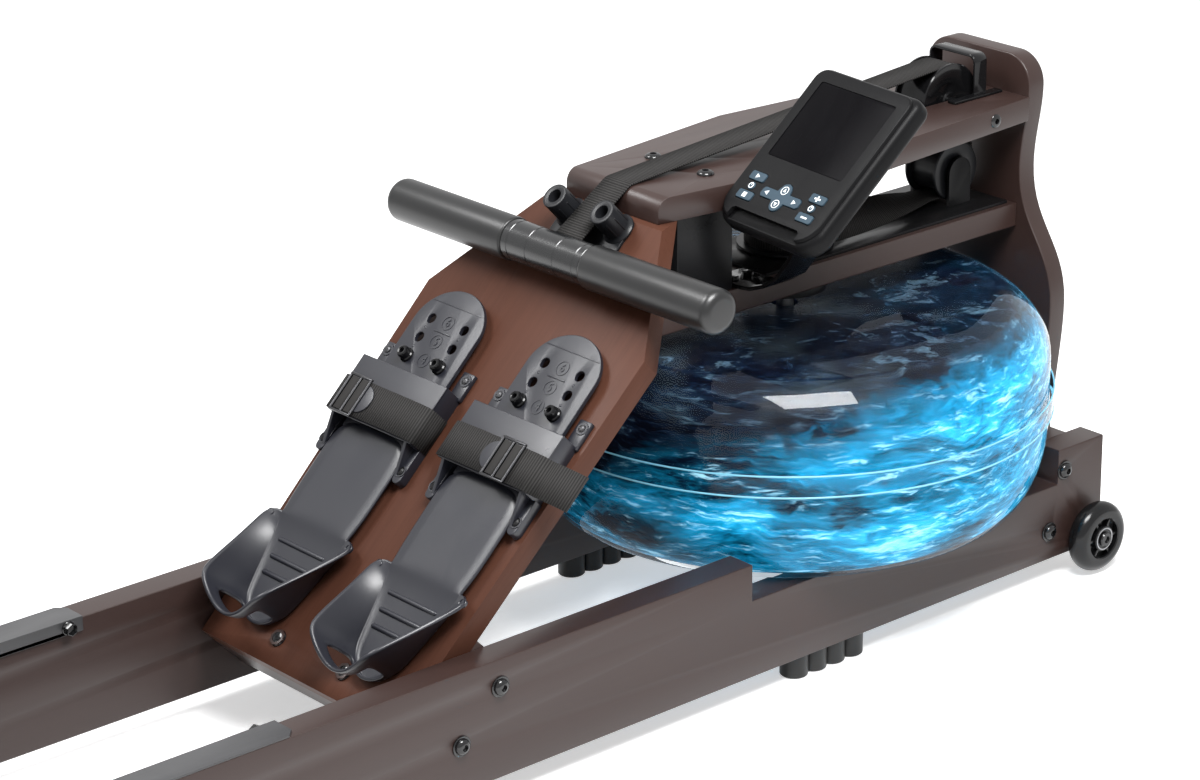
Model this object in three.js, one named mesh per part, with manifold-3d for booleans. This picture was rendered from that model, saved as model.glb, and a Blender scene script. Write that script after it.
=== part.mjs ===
// A water rowing machine: timber rails, an inclined foot board, a round water tank with a paddle inside,
// a strap drive between two boards above the tank, a sliding seat and a small display console.
// Millimetres, +Z up, +X from the seat end to the tank end.
// The floor is at Z = 0 and the middle of the machine at X = 0.
import * as THREE from "three";
import { mergeVertices } from "three/addons/utils/BufferGeometryUtils.js";
import { ConvexGeometry } from "three/addons/geometries/ConvexGeometry.js";
import Module from "manifold-3d";

const wasm = await Module();
wasm.setup();

// Shared values
const WELD = 0.0001;
const OVERRUN = 5;
const CLEARANCE = 0.3;
const TOUCH = 0.02;
const FINE_SIDES = 34;
const WHEEL_SIDES = 26;
const ROUND_SIDES = 18;
const SMALL_SIDES = 8;
const HEX_SIDES = 6;

// The frame
const MACHINE_LENGTH = 2100;
const FRAME_WIDTH = 370;
const RAIL_HEIGHT = 120;
const RAIL_THICKNESS = 32;
const FOOT_HEIGHT = 24;
const REAR_END = -MACHINE_LENGTH / 2;
const FRONT_END = MACHINE_LENGTH / 2;
const RAIL_OUTER = FRAME_WIDTH / 2;
const RAIL_INNER = RAIL_OUTER - RAIL_THICKNESS;
const RAIL_BOTTOM = FOOT_HEIGHT;
const RAIL_TOP = RAIL_BOTTOM + RAIL_HEIGHT;
const RAIL_SETBACK = 14.5;
const RAIL_FRONT = FRONT_END - RAIL_SETBACK;

// The front panel
const PANEL_THICKNESS = 23;
const PANEL_SETBACK = 0.5;
const PANEL_FRONT = FRONT_END - PANEL_SETBACK;
const PANEL_REAR = PANEL_FRONT - PANEL_THICKNESS;
const PANEL_TOP = 532;
const PANEL_BOTTOM = 60;
const PANEL_HEAD_HALF = 73;
const PANEL_HEAD_RADIUS = 32;
const PANEL_WAIST_HALF = 63;
const PANEL_WAIST_Z = 412;
const PANEL_BELLY_HALF = 112.5;
const PANEL_BELLY_Z = 270;
const PANEL_FOOT_HALF = 97;

// The tank
const TANK_WALL_RADIUS = 272;
const TANK_WALL = 5;
const SEAM_BAND_WALL = 5;
const SEAM_BAND_HEIGHT = 22;
const TANK_TO_PANEL = 2.5;
const SEAM_RADIUS = TANK_WALL_RADIUS + CLEARANCE + SEAM_BAND_WALL;
const TANK_X = PANEL_REAR - TANK_TO_PANEL - SEAM_RADIUS;
const POCKET_DEPTH = 38;
const POCKET_GAP = 5.8;
const TANK_ROOM_INSET = 5;
const TANK_ROOM_RADIUS = TANK_WALL_RADIUS - TANK_ROOM_INSET;
const TANK_FLOOR = RAIL_TOP - POCKET_DEPTH;
const SEAM_Z = 221;
const TANK_TOP = 331;
const TANK_LOW_CORNER_RUN = 48;
const TANK_LOW_CORNER_RISE = 92;
const TANK_HIGH_CORNER_RUN = 86;
const TANK_HIGH_CORNER_RISE = 66;
const WATER_LEVEL = 316;

// The boards above the tank
const TOP_BOARD_TOP = 490;
const TOP_BOARD_THICKNESS = 25.4;
const TOP_BOARD_BOTTOM = TOP_BOARD_TOP - TOP_BOARD_THICKNESS;
const NOSE_REACH = 234.7;
const TOP_BOARD_NOSE = TANK_X - NOSE_REACH;
const TOP_BOARD_NOSE_HALF = 67;
const TOP_BOARD_WIDE_HALF = 99;
const TOP_BOARD_NOSE_ROUND = 14;
const LOWER_BOARD_TOP = 372.3;
const LOWER_BOARD_THICKNESS = 25.2;
const LOWER_BOARD_BOTTOM = LOWER_BOARD_TOP - LOWER_BOARD_THICKNESS;
const LOWER_BOARD_HALF = 60.5;

// The foot board, whose own frame runs up its slope (X), across (Y) and out of its face (Z)
const BOARD_RUN = 400.1;
const BOARD_X = TOP_BOARD_NOSE - BOARD_RUN;
const BOARD_Z = 90.3;
const BOARD_SLOPE = THREE.MathUtils.degToRad(43.787);
const BOARD_THICKNESS = 22.7;
const BOARD_BEND = 413;
const BOARD_LENGTH = 564;
const BOARD_FOOT_HALF = 150.5;
const BOARD_BEND_HALF = 159.6;
const BOARD_TOP_HALF = 69;

// The strap drive
const STRAP_WIDTH = 36;
const STRAP_THICKNESS = 2;
const STRAP_LIFT = CLEARANCE * 2 + STRAP_THICKNESS / 2;
const TOP_PULLEY_SETBACK = 64.5;
const TOP_PULLEY_X = PANEL_REAR - TOP_PULLEY_SETBACK;
const TOP_PULLEY_Z = 487.5;
const TOP_PULLEY_GROOVE = 36;
const TOP_PULLEY_FLANGE = 40;
const GUIDE_PULLEY_Z = 410;
const GUIDE_PULLEY_GROOVE = 25;
const GUIDE_PULLEY_FLANGE = 32;
const PULLEY_FLANGE_WALL = 3;
const PULLEY_HALF = STRAP_WIDTH / 2 + CLEARANCE * 3 + PULLEY_FLANGE_WALL;
const PULLEY_SIDE_GAP = 2;
const PULLEY_AXLE_RADIUS = 5;
const GUIDE_PULLEY_X = TOP_PULLEY_X + TOP_PULLEY_GROOVE - GUIDE_PULLEY_GROOVE;
const DRUM_CORE = 40;
const DRUM_FLANGE = 50;
const DRUM_FLANGE_WALL = 3;
const SPOOL_CORE = 20;
const SPOOL_FLANGE = 27;
const SPOOL_HEIGHT = 14;
const SHAFT_RADIUS = 9;
const RECOIL_CORD_RADIUS = 4;

// The handle
const HANDLE_S = 475;
const REST_HEIGHT = 3.7;
const GRIP_RADIUS = 22;
const HANDLE_HALF = 236;
const SLEEVE_RADIUS = 20.5;
const HANDLE_LIFT = REST_HEIGHT + SLEEVE_RADIUS + CLEARANCE;
const SLEEVE_HALF = 57;
const HANDLE_ROD_RADIUS = 11;
const PEG_S = 527;
const PEG_Y = 34.4;
const PEG_RADIUS = 13.5;
const PEG_HOLE_RADIUS = 6.5;
const PEG_HEIGHT = 34.5;

// The seat
const TRACK_TO_BOARD = 133.3;
const TRACK_START = BOARD_X - TRACK_TO_BOARD;
const TRACK_THICKNESS = 2;
const TRACK_LIP = 15;
const TRACK_TOP = RAIL_TOP + TRACK_THICKNESS;
const SEAT_FROM_STOP = 458.6;
const SEAT_X = TRACK_START - SEAT_FROM_STOP;
const SEAT_LENGTH = 240;
const SEAT_WIDTH = 304;
const SEAT_THICKNESS = 52;
const ROLLER_RADIUS = 20;
const ROLLER_WIDTH = 18;
const ROLLER_AXLE_RADIUS = 5;
const ROLLER_SPREAD = 80;

// The transport wheels
const WHEEL_RADIUS = 38;
const WHEEL_WIDTH = 24;
const WHEEL_Z = 40;
const WHEEL_GAP = 4;
const WHEEL_X = FRONT_END - WHEEL_RADIUS;
const WHEEL_AXLE_RADIUS = 5;

// The console, whose own frame runs across its face (X), up its face (Y) and out of it (Z)
const CONSOLE_FROM_NOSE = 143;
const CONSOLE_X = TOP_BOARD_NOSE + CONSOLE_FROM_NOSE;
const CONSOLE_Y = -156;
const CONSOLE_Z = 548.5;
const CONSOLE_TURN = THREE.MathUtils.degToRad(5.9);
const CONSOLE_TILT = THREE.MathUtils.degToRad(42.5);
const CONSOLE_HALF = 75.3;
const CONSOLE_ABOVE = 64;
const CONSOLE_BELOW = 122.5;
const CONSOLE_DEPTH = 26;
const SCREEN_HALF = 56;
const SCREEN_HALF_HEIGHT = 45;

// Finishes
function finish(colour, roughness, metalness) {
  return new THREE.MeshStandardMaterial({ color: colour, roughness, metalness });
}
const WALNUT = () => finish(0x6e4a3c, 0.5, 0);
const BLACK_PLASTIC = () => finish(0x232426, 0.5, 0);
const GLOSS_BLACK = () => finish(0x0c0c0d, 0.15, 0);
const FOAM = () => finish(0x3a3a3a, 0.9, 0);
const BLACK_STEEL = () => finish(0x1a1b1d, 0.4, 0.6);
const GREY_STEEL = () => finish(0x7b7d80, 0.35, 0.8);
const STEEL = () => finish(0xb9bbbd, 0.25, 1);
const CLEAR = () => finish(0x9fc4cf, 0.08, 0);
const WATER = () => finish(0x1480a0, 0.1, 0);
const WEBBING = () => finish(0x1c1c1d, 0.95, 0);
const RUBBER = () => finish(0x161616, 0.8, 0);
const KEY_RUBBER = () => finish(0x3d5a68, 0.7, 0);
const SEAT_SKIN = () => finish(0x1e1e1f, 0.6, 0);

// A closed geometry as a solid that can be joined and cut.
function solidOf(geometry) {
  const bare = geometry.clone();
  bare.deleteAttribute("normal");
  bare.deleteAttribute("uv");
  const merged = mergeVertices(bare, WELD);
  const triVerts = new Uint32Array(merged.index.array);
  const vertProperties = merged.attributes.position.array;
  const made = new wasm.Manifold(new wasm.Mesh({ numProp: 3, vertProperties, triVerts }));
  if (made.volume() >= 0) return made;
  for (let i = 0; i < triVerts.length; i += 3) {
    [triVerts[i + 1], triVerts[i + 2]] = [triVerts[i + 2], triVerts[i + 1]];
  }
  return new wasm.Manifold(new wasm.Mesh({ numProp: 3, vertProperties, triVerts }));
}

function join(...solids) {
  return solids.reduce((all, next) => all.add(next));
}

function cut(body, ...tools) {
  return tools.reduce((left, tool) => left.subtract(tool), body);
}

// A solid as a named mesh with its finish.
function piece(name, solid, material) {
  const mesh = solid.getMesh();
  const places = new Float32Array(mesh.numVert * 3);
  for (let i = 0; i < mesh.numVert; i += 1) {
    places.set(mesh.vertProperties.subarray(i * mesh.numProp, i * mesh.numProp + 3), i * 3);
  }
  const geometry = new THREE.BufferGeometry();
  geometry.setAttribute("position", new THREE.BufferAttribute(places, 3));
  geometry.setIndex(new THREE.BufferAttribute(mesh.triVerts, 1));
  const flat = geometry.toNonIndexed();
  flat.computeVertexNormals();
  const made = new THREE.Mesh(flat, material);
  made.name = name;
  return made;
}

// A box between two corners.
function block([x0, x1], [y0, y1], [z0, z1]) {
  const box = new THREE.BoxGeometry(x1 - x0, y1 - y0, z1 - z0);
  box.translate((x0 + x1) / 2, (y0 + y1) / 2, (z0 + z1) / 2);
  return solidOf(box);
}

// A round bar along one axis from one value to another, its centre at the other two coordinates.
function bar(axis, radius, [from, to], [a, b], sides = ROUND_SIDES) {
  const round = new THREE.CylinderGeometry(radius, radius, to - from, sides);
  const middle = (from + to) / 2;
  if (axis === "x") return solidOf(round.rotateZ(Math.PI / 2).translate(middle, a, b));
  if (axis === "y") return solidOf(round.translate(a, middle, b));
  return solidOf(round.rotateX(Math.PI / 2).translate(a, b, middle));
}

// The radius to the corners of a bore whose flat sides clear a turning axle all round.
function boreRadius(axle, sides) {
  return (axle + CLEARANCE) / Math.cos(Math.PI / sides);
}

// A flat outline in X and Y raised from one height to another.
function slab(shape, [z0, z1], curveSegments = SMALL_SIDES) {
  const raised = new THREE.ExtrudeGeometry(shape, { depth: z1 - z0, bevelEnabled: false, curveSegments });
  return solidOf(raised.translate(0, 0, z0));
}

// A side view in X and Z drawn out across the machine from one Y to another.
function sideSlab(shape, [y0, y1], curveSegments = SMALL_SIDES) {
  const drawn = new THREE.ExtrudeGeometry(shape, { depth: y1 - y0, bevelEnabled: false, curveSegments });
  return solidOf(drawn.rotateX(Math.PI / 2).translate(0, y1, 0));
}

// An end view in Y and Z drawn out along the machine from one X to another.
function endSlab(shape, [x0, x1], curveSegments = SMALL_SIDES) {
  const drawn = new THREE.ExtrudeGeometry(shape, { depth: x1 - x0, bevelEnabled: false, curveSegments });
  const turn = new THREE.Matrix4().set(0, 0, 1, x0, 1, 0, 0, 0, 0, 1, 0, 0, 0, 0, 0, 1);
  return solidOf(drawn.applyMatrix4(turn));
}

function polygon(points) {
  return new THREE.Shape(points.map(([x, y]) => new THREE.Vector2(x, y)));
}

// A profile of radius and height turned about a standing axis.
function turned(profile, [x, y] = [0, 0], sides = FINE_SIDES) {
  const lathe = new THREE.LatheGeometry(profile.map(([r, z]) => new THREE.Vector2(r, z)), sides);
  return solidOf(lathe.rotateX(Math.PI / 2).translate(x, y, 0));
}

// The same, turned about an axis across the machine.
function turnedAcross(profile, [x, z], sides = ROUND_SIDES) {
  const lathe = new THREE.LatheGeometry(profile.map(([r, y]) => new THREE.Vector2(r, y)), sides);
  return solidOf(lathe.translate(x, 0, z));
}

// A closed body through rings of points, each ring with as many points as the next. Each side's small
// four cornered patches are split along one diagonal, and along the other one on the sides named in crossed.
function loft(rings, crossed = []) {
  const count = rings[0].length;
  const points = rings.flat();
  const faces = [];
  for (let r = 0; r + 1 < rings.length; r += 1) {
    for (let i = 0; i < count; i += 1) {
      const a = r * count + i;
      const b = r * count + ((i + 1) % count);
      if (crossed.includes(i)) faces.push(a, b, a + count, b, b + count, a + count);
      else faces.push(a, b, b + count, a, b + count, a + count);
    }
  }
  const last = (rings.length - 1) * count;
  for (let i = 1; i + 1 < count; i += 1) {
    faces.push(0, i + 1, i, last, last + i, last + i + 1);
  }
  const geometry = new THREE.BufferGeometry().setFromPoints(points);
  geometry.setIndex(faces);
  return solidOf(geometry);
}

// A flat band through points; each point names the direction across the band. Its two broad faces are split
// alike, so that a twisted band keeps its thickness.
const BAND_TOP = 3;

function band(points, width, thickness) {
  const rings = points.map(({ at, across }, i) => {
    const before = points[Math.max(i - 1, 0)].at;
    const after = points[Math.min(i + 1, points.length - 1)].at;
    const along = after.clone().sub(before).normalize();
    const side = across.clone().addScaledVector(along, -across.dot(along)).normalize();
    const up = along.clone().cross(side).multiplyScalar(thickness / 2);
    const half = side.multiplyScalar(width / 2);
    return [
      at.clone().add(half).add(up),
      at.clone().add(half).sub(up),
      at.clone().sub(half).sub(up),
      at.clone().sub(half).add(up),
    ];
  });
  return loft(rings, [BAND_TOP]);
}

// A round cord through points that all lie at one height.
function levelCord(points, radius, sides = 6) {
  const rings = points.map((at, i) => {
    const before = points[Math.max(i - 1, 0)];
    const after = points[Math.min(i + 1, points.length - 1)];
    const along = after.clone().sub(before).normalize();
    const side = new THREE.Vector3(-along.y, along.x, 0);
    return Array.from({ length: sides }, (_, k) => {
      const turn = (k / sides) * Math.PI * 2;
      const out = side.clone().multiplyScalar(Math.cos(turn) * radius);
      return at.clone().add(out).add(new THREE.Vector3(0, 0, Math.sin(turn) * radius));
    });
  });
  return loft(rings);
}

function arcPoints(centre, radius, from, to, steps) {
  return Array.from({ length: steps + 1 }, (_, i) => {
    const turn = from + ((to - from) * i) / steps;
    return [centre[0] + Math.cos(turn) * radius, centre[1] + Math.sin(turn) * radius];
  });
}

function roundedOutline(halfX, halfY, radius, centre = [0, 0]) {
  const [x, y] = centre;
  const shape = new THREE.Shape();
  shape.absarc(x + halfX - radius, y + halfY - radius, radius, 0, Math.PI / 2);
  shape.absarc(x - halfX + radius, y + halfY - radius, radius, Math.PI / 2, Math.PI);
  shape.absarc(x - halfX + radius, y - halfY + radius, radius, Math.PI, Math.PI * 1.5);
  shape.absarc(x + halfX - radius, y - halfY + radius, radius, Math.PI * 1.5, Math.PI * 2);
  return shape;
}

const machine = new THREE.Group();

// The two nested frames: on the foot board's face and on the console's face.
const board = new THREE.Group();
board.position.set(BOARD_X, 0, BOARD_Z);
board.rotation.y = -BOARD_SLOPE;
board.updateMatrixWorld(true);
machine.add(board);

const console_ = new THREE.Group();
const consoleAcross = new THREE.Vector3(-Math.sin(CONSOLE_TURN), -Math.cos(CONSOLE_TURN), 0);
const consoleLevel = new THREE.Vector3(Math.cos(CONSOLE_TURN), -Math.sin(CONSOLE_TURN), 0);
const consoleUp = consoleLevel.clone().multiplyScalar(Math.cos(CONSOLE_TILT));
consoleUp.z = Math.sin(CONSOLE_TILT);
const consoleOut = consoleAcross.clone().cross(consoleUp);
console_.setRotationFromMatrix(new THREE.Matrix4().makeBasis(consoleAcross, consoleUp, consoleOut));
console_.position.set(CONSOLE_X, CONSOLE_Y, CONSOLE_Z);
console_.updateMatrixWorld(true);
machine.add(console_);

// A point of the foot board's frame, by slope, across and height, in the machine's frame.
function onBoard(s, y, lift) {
  return board.localToWorld(new THREE.Vector3(s, y, lift));
}

// Rails, each with a pocket that the tank drops into, and holes for the bolts and the wheel axle
const BOLT_RADIUS = 5;
const BOLT_HEAD_RADIUS = 8;
const BOLT_HEAD_HEIGHT = 5;
const WASHER_RADIUS = 10;
const WASHER_HEIGHT = 1.5;
const UPPER_BOLT_SETBACK = 60;
const UPPER_BOLT_DROP = 24;
const LOWER_BOLT_SETBACK = 81;
const LOWER_BOLT_RISE = 32;
const FRONT_BOLTS = [
  [RAIL_FRONT - UPPER_BOLT_SETBACK, RAIL_TOP - UPPER_BOLT_DROP],
  [RAIL_FRONT - LOWER_BOLT_SETBACK, RAIL_BOTTOM + LOWER_BOLT_RISE],
];
const FOOT_BEAM_BOLTS_S = [22.5, 87.8];
const FOOT_BEAM_BOLT_LIFT = -47.5;
const FOOT_BEAM_BOLTS = FOOT_BEAM_BOLTS_S.map((s) => {
  const place = onBoard(s, 0, FOOT_BEAM_BOLT_LIFT);
  return [place.x, place.z];
});
const REAR_BEAM_INSET = 60;
const REAR_BEAM_X = REAR_END + REAR_BEAM_INSET;
const REAR_BOLTS = [[REAR_BEAM_X, RAIL_BOTTOM + RAIL_HEIGHT / 2]];
const RAIL_BOLTS = [...FRONT_BOLTS, ...FOOT_BEAM_BOLTS, ...REAR_BOLTS];

// The pocket reaches past the tank's lower corner where that meets the rail's top inner edge
function pocketReach() {
  const drop = (TANK_FLOOR + TANK_LOW_CORNER_RISE - RAIL_TOP) / TANK_LOW_CORNER_RISE;
  const arch = TANK_LOW_CORNER_RUN * Math.sqrt(1 - drop * drop);
  const radius = TANK_WALL_RADIUS - TANK_LOW_CORNER_RUN + arch;
  return Math.sqrt(radius * radius - RAIL_INNER * RAIL_INNER) + POCKET_GAP;
}

function tankPocket(across) {
  const reach = [TANK_X - pocketReach(), TANK_X + pocketReach()];
  return block(reach, across, [TANK_FLOOR, RAIL_TOP + OVERRUN]);
}

function rail(side) {
  const across = side < 0 ? [-RAIL_OUTER, -RAIL_INNER] : [RAIL_INNER, RAIL_OUTER];
  const past = [across[0] - OVERRUN, across[1] + OVERRUN];
  const holes = RAIL_BOLTS.map((place) => bar("y", BOLT_RADIUS + CLEARANCE, past, place, SMALL_SIDES));
  const axleHole = bar("y", WHEEL_AXLE_RADIUS + CLEARANCE, past, [WHEEL_X, WHEEL_Z], SMALL_SIDES);
  const plank = block([REAR_END, RAIL_FRONT], across, [RAIL_BOTTOM, RAIL_TOP]);
  return cut(plank, tankPocket(past), axleHole, ...holes);
}

// A through bolt with a head and washer outside each rail
function railBolt([x, z]) {
  const inner = RAIL_OUTER - OVERRUN * 8;
  const parts = [-1, 1].map((side) => {
    const span = (a, b) => [Math.min(a * side, b * side), Math.max(a * side, b * side)];
    const shank = bar("y", BOLT_RADIUS, span(inner, RAIL_OUTER + CLEARANCE), [x, z], SMALL_SIDES);
    const washerEnd = RAIL_OUTER + CLEARANCE + WASHER_HEIGHT;
    const washer = bar("y", WASHER_RADIUS, span(RAIL_OUTER + CLEARANCE, washerEnd), [x, z], SMALL_SIDES);
    const head = bar("y", BOLT_HEAD_RADIUS, span(washerEnd, washerEnd + BOLT_HEAD_HEIGHT), [x, z], HEX_SIDES);
    return join(shank, washer, head);
  });
  return join(...parts);
}

// Cross beams between the rails, each with the bolts that hold it
const BEAM_HALF = RAIL_INNER - CLEARANCE;
const FRONT_BEAM_DEPTH = 86;
const FRONT_BEAM_REAR = PANEL_REAR - FRONT_BEAM_DEPTH;
const AXLE_TO_BEAM = 2;
const FRONT_BEAM_BOTTOM = WHEEL_Z + WHEEL_AXLE_RADIUS + AXLE_TO_BEAM;
const FRONT_BEAM_DROP = 8;
const FRONT_BEAM_TOP = RAIL_TOP - FRONT_BEAM_DROP;
const TANK_UNDERSIDE_GAP = 6;

function frontBeam() {
  const height = [FRONT_BEAM_BOTTOM, FRONT_BEAM_TOP];
  const body = block([FRONT_BEAM_REAR, PANEL_REAR], [-BEAM_HALF, BEAM_HALF], height);
  const room = [TANK_FLOOR - TANK_UNDERSIDE_GAP, FRONT_BEAM_TOP + OVERRUN];
  const hollow = bar("z", TANK_ROOM_RADIUS, room, [TANK_X, 0], FINE_SIDES);
  return join(cut(body, hollow), ...FRONT_BOLTS.map(railBolt));
}

const FOOT_BEAM_START = 0;
const FOOT_BEAM_END = 112;
const FOOT_BEAM_THICKNESS = 47;
const BOARD_SCREW_S = 27;
const BOARD_SCREW_Y = 51;
const BOARD_SCREW_RADIUS = 3.5;
const BOARD_SCREW_HEAD = 8.5;
const BOARD_SCREW_HEAD_HEIGHT = 2.8;

// A foot board screw stands out of the beam, through the board
function boardScrew(y) {
  const shank = [-BOARD_THICKNESS - OVERRUN, CLEARANCE];
  const head = [CLEARANCE, CLEARANCE + BOARD_SCREW_HEAD_HEIGHT];
  return join(
    bar("z", BOARD_SCREW_RADIUS, shank, [BOARD_SCREW_S, y], SMALL_SIDES),
    bar("z", BOARD_SCREW_HEAD, head, [BOARD_SCREW_S, y], SMALL_SIDES),
  );
}

function footBeam() {
  const top = -BOARD_THICKNESS - CLEARANCE;
  const depth = [top - FOOT_BEAM_THICKNESS, top];
  const body = block([FOOT_BEAM_START, FOOT_BEAM_END], [-BEAM_HALF, BEAM_HALF], depth);
  const bolts = FOOT_BEAM_BOLTS_S.map((s) => railBolt([s, FOOT_BEAM_BOLT_LIFT]));
  return join(body, boardScrew(-BOARD_SCREW_Y), boardScrew(BOARD_SCREW_Y), ...bolts);
}

const REAR_BEAM_HALF_DEPTH = 22;
const REAR_BEAM_MARGIN = 18;

function rearBeam() {
  const depth = [REAR_BEAM_X - REAR_BEAM_HALF_DEPTH, REAR_BEAM_X + REAR_BEAM_HALF_DEPTH];
  const height = [RAIL_BOTTOM + REAR_BEAM_MARGIN, RAIL_TOP - REAR_BEAM_MARGIN];
  return join(block(depth, [-BEAM_HALF, BEAM_HALF], height), ...REAR_BOLTS.map(railBolt));
}

// A front foot: a rubber block of four round lobes under the rail
const FRONT_FOOT_FROM_TANK = 161.7;
const FRONT_FOOT_START = TANK_X - FRONT_FOOT_FROM_TANK;
const FOOT_LOBE_RADIUS = 14.5;
const FOOT_LOBE_PITCH = 25.5;
const FOOT_LOBES = 4;
const FOOT_WEB_HALF = 13;

function frontFoot(side) {
  const y = side * (RAIL_OUTER - RAIL_THICKNESS / 2);
  const first = FRONT_FOOT_START + FOOT_LOBE_RADIUS;
  const lobes = Array.from({ length: FOOT_LOBES }, (_, i) => {
    const x = first + i * FOOT_LOBE_PITCH;
    return bar("z", FOOT_LOBE_RADIUS, [0, FOOT_HEIGHT], [x, y], ROUND_SIDES);
  });
  const last = first + (FOOT_LOBES - 1) * FOOT_LOBE_PITCH;
  const web = block([first, last], [y - FOOT_WEB_HALF, y + FOOT_WEB_HALF], [0, FOOT_HEIGHT]);
  return join(web, ...lobes);
}

const REAR_FOOT_HALF = 26;
const REAR_FOOT_RADIUS = 10;

function rearFoot() {
  const outline = roundedOutline(REAR_FOOT_HALF, RAIL_OUTER, REAR_FOOT_RADIUS, [REAR_BEAM_X, 0]);
  return slab(outline, [0, FOOT_HEIGHT], SMALL_SIDES / 2);
}

machine.add(piece("near_rail", rail(-1), WALNUT()));
machine.add(piece("far_rail", rail(1), WALNUT()));
machine.add(piece("front_beam", frontBeam(), WALNUT()));
board.add(piece("foot_beam", footBeam(), WALNUT()));
machine.add(piece("rear_beam", rearBeam(), WALNUT()));
machine.add(piece("near_front_foot", frontFoot(-1), RUBBER()));
machine.add(piece("far_front_foot", frontFoot(1), RUBBER()));
machine.add(piece("rear_foot", rearFoot(), RUBBER()));

// The seat tracks: steel angles over the rails' tops, each with a stop bolt for the seat on its lip
const TRACK_REAR_INSET = 6;
const SEAT_STOP_INSET = 17;
const SEAT_STOP_RADIUS = 7;
const SEAT_STOP_LENGTH = 9;
const TRACK_CORNER = 9;

function track(side) {
  const rear = REAR_END + TRACK_REAR_INSET;
  const inner = RAIL_INNER - CLEARANCE - TRACK_THICKNESS;
  const plan = polygon([
    [rear, inner],
    [TRACK_START, inner],
    [TRACK_START, RAIL_OUTER - TRACK_CORNER],
    [TRACK_START - TRACK_CORNER, RAIL_OUTER],
    [rear, RAIL_OUTER],
  ]);
  const cap = slab(plan, [RAIL_TOP, TRACK_TOP]);
  const lipHeight = [TRACK_TOP - TRACK_LIP, TRACK_TOP];
  const lip = block([rear, TRACK_START], [inner, inner + TRACK_THICKNESS], lipHeight);
  const stopPlace = [TRACK_START - SEAT_STOP_INSET, TRACK_TOP - TRACK_LIP / 2];
  const stopAcross = [inner - SEAT_STOP_LENGTH, inner + CLEARANCE];
  const stop = bar("y", SEAT_STOP_RADIUS, stopAcross, stopPlace, HEX_SIDES);
  const made = join(cap, lip, stop);
  return side > 0 ? made : made.mirror([0, 1, 0]);
}

machine.add(piece("near_track", track(-1), GREY_STEEL()));
machine.add(piece("far_track", track(1), GREY_STEEL()));

// The foot board: a plank that widens to a bend and then tapers to the nose of the top board
function footBoard() {
  const half = [
    [0, BOARD_FOOT_HALF],
    [BOARD_BEND, BOARD_BEND_HALF],
    [BOARD_LENGTH, BOARD_TOP_HALF],
  ];
  const mirrored = half.map(([s, y]) => [s, -y]);
  const plank = slab(polygon([...mirrored, ...half.reverse()]), [-BOARD_THICKNESS, 0]);
  const above = new THREE.BoxGeometry(MACHINE_LENGTH, FRAME_WIDTH, BOARD_LENGTH);
  above.translate(0, 0, TOP_BOARD_BOTTOM - CLEARANCE + BOARD_LENGTH / 2);
  const topCut = solidOf(above.applyMatrix4(board.matrixWorld.clone().invert()));
  const screwHoles = [-BOARD_SCREW_Y, BOARD_SCREW_Y].map((y) => {
    const depth = [-BOARD_THICKNESS - OVERRUN, OVERRUN];
    return bar("z", BOARD_SCREW_RADIUS + CLEARANCE, depth, [BOARD_SCREW_S, y], SMALL_SIDES);
  });
  return cut(plank, topCut, ...screwHoles);
}

board.add(piece("foot_board", footBoard(), WALNUT()));

// Where the back of the foot board is at a given height, measured along X
function boardBackX(z) {
  const along = (z - BOARD_Z) / Math.tan(BOARD_SLOPE);
  return BOARD_X + along + BOARD_THICKNESS / Math.sin(BOARD_SLOPE);
}

// The lower board carries the pulleys, and the tank's bearing housing comes up through it
const HOUSING_NECK_RADIUS = 20;
const HOUSING_HOLE_GAP = 2;

function lowerBoard() {
  const side = polygon([
    [boardBackX(LOWER_BOARD_TOP) + CLEARANCE * 2, LOWER_BOARD_TOP],
    [boardBackX(LOWER_BOARD_BOTTOM) + CLEARANCE * 2, LOWER_BOARD_BOTTOM],
    [PANEL_REAR, LOWER_BOARD_BOTTOM],
    [PANEL_REAR, LOWER_BOARD_TOP],
  ]);
  const plank = sideSlab(side, [-LOWER_BOARD_HALF, LOWER_BOARD_HALF]);
  const depth = [LOWER_BOARD_BOTTOM - OVERRUN, LOWER_BOARD_TOP + OVERRUN];
  return cut(plank, bar("z", HOUSING_NECK_RADIUS + HOUSING_HOLE_GAP, depth, [TANK_X, 0]));
}

// The top board: a long hexagon with a rounded nose, slotted for the top pulley and grooved for its axle
const PULLEY_SLOT_HALF = PULLEY_HALF + PULLEY_SIDE_GAP;
const PULLEY_SLOT_REACH = 42;
const AXLE_GROOVE_HALF = 40;
const NOSE_SCREW_SETBACK = 88.5;
const NOSE_SCREW_X = TOP_BOARD_NOSE + NOSE_SCREW_SETBACK;
const NOSE_SCREW_Y = 38;
const NOSE_SCREW_RADIUS = 3.5;

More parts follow.
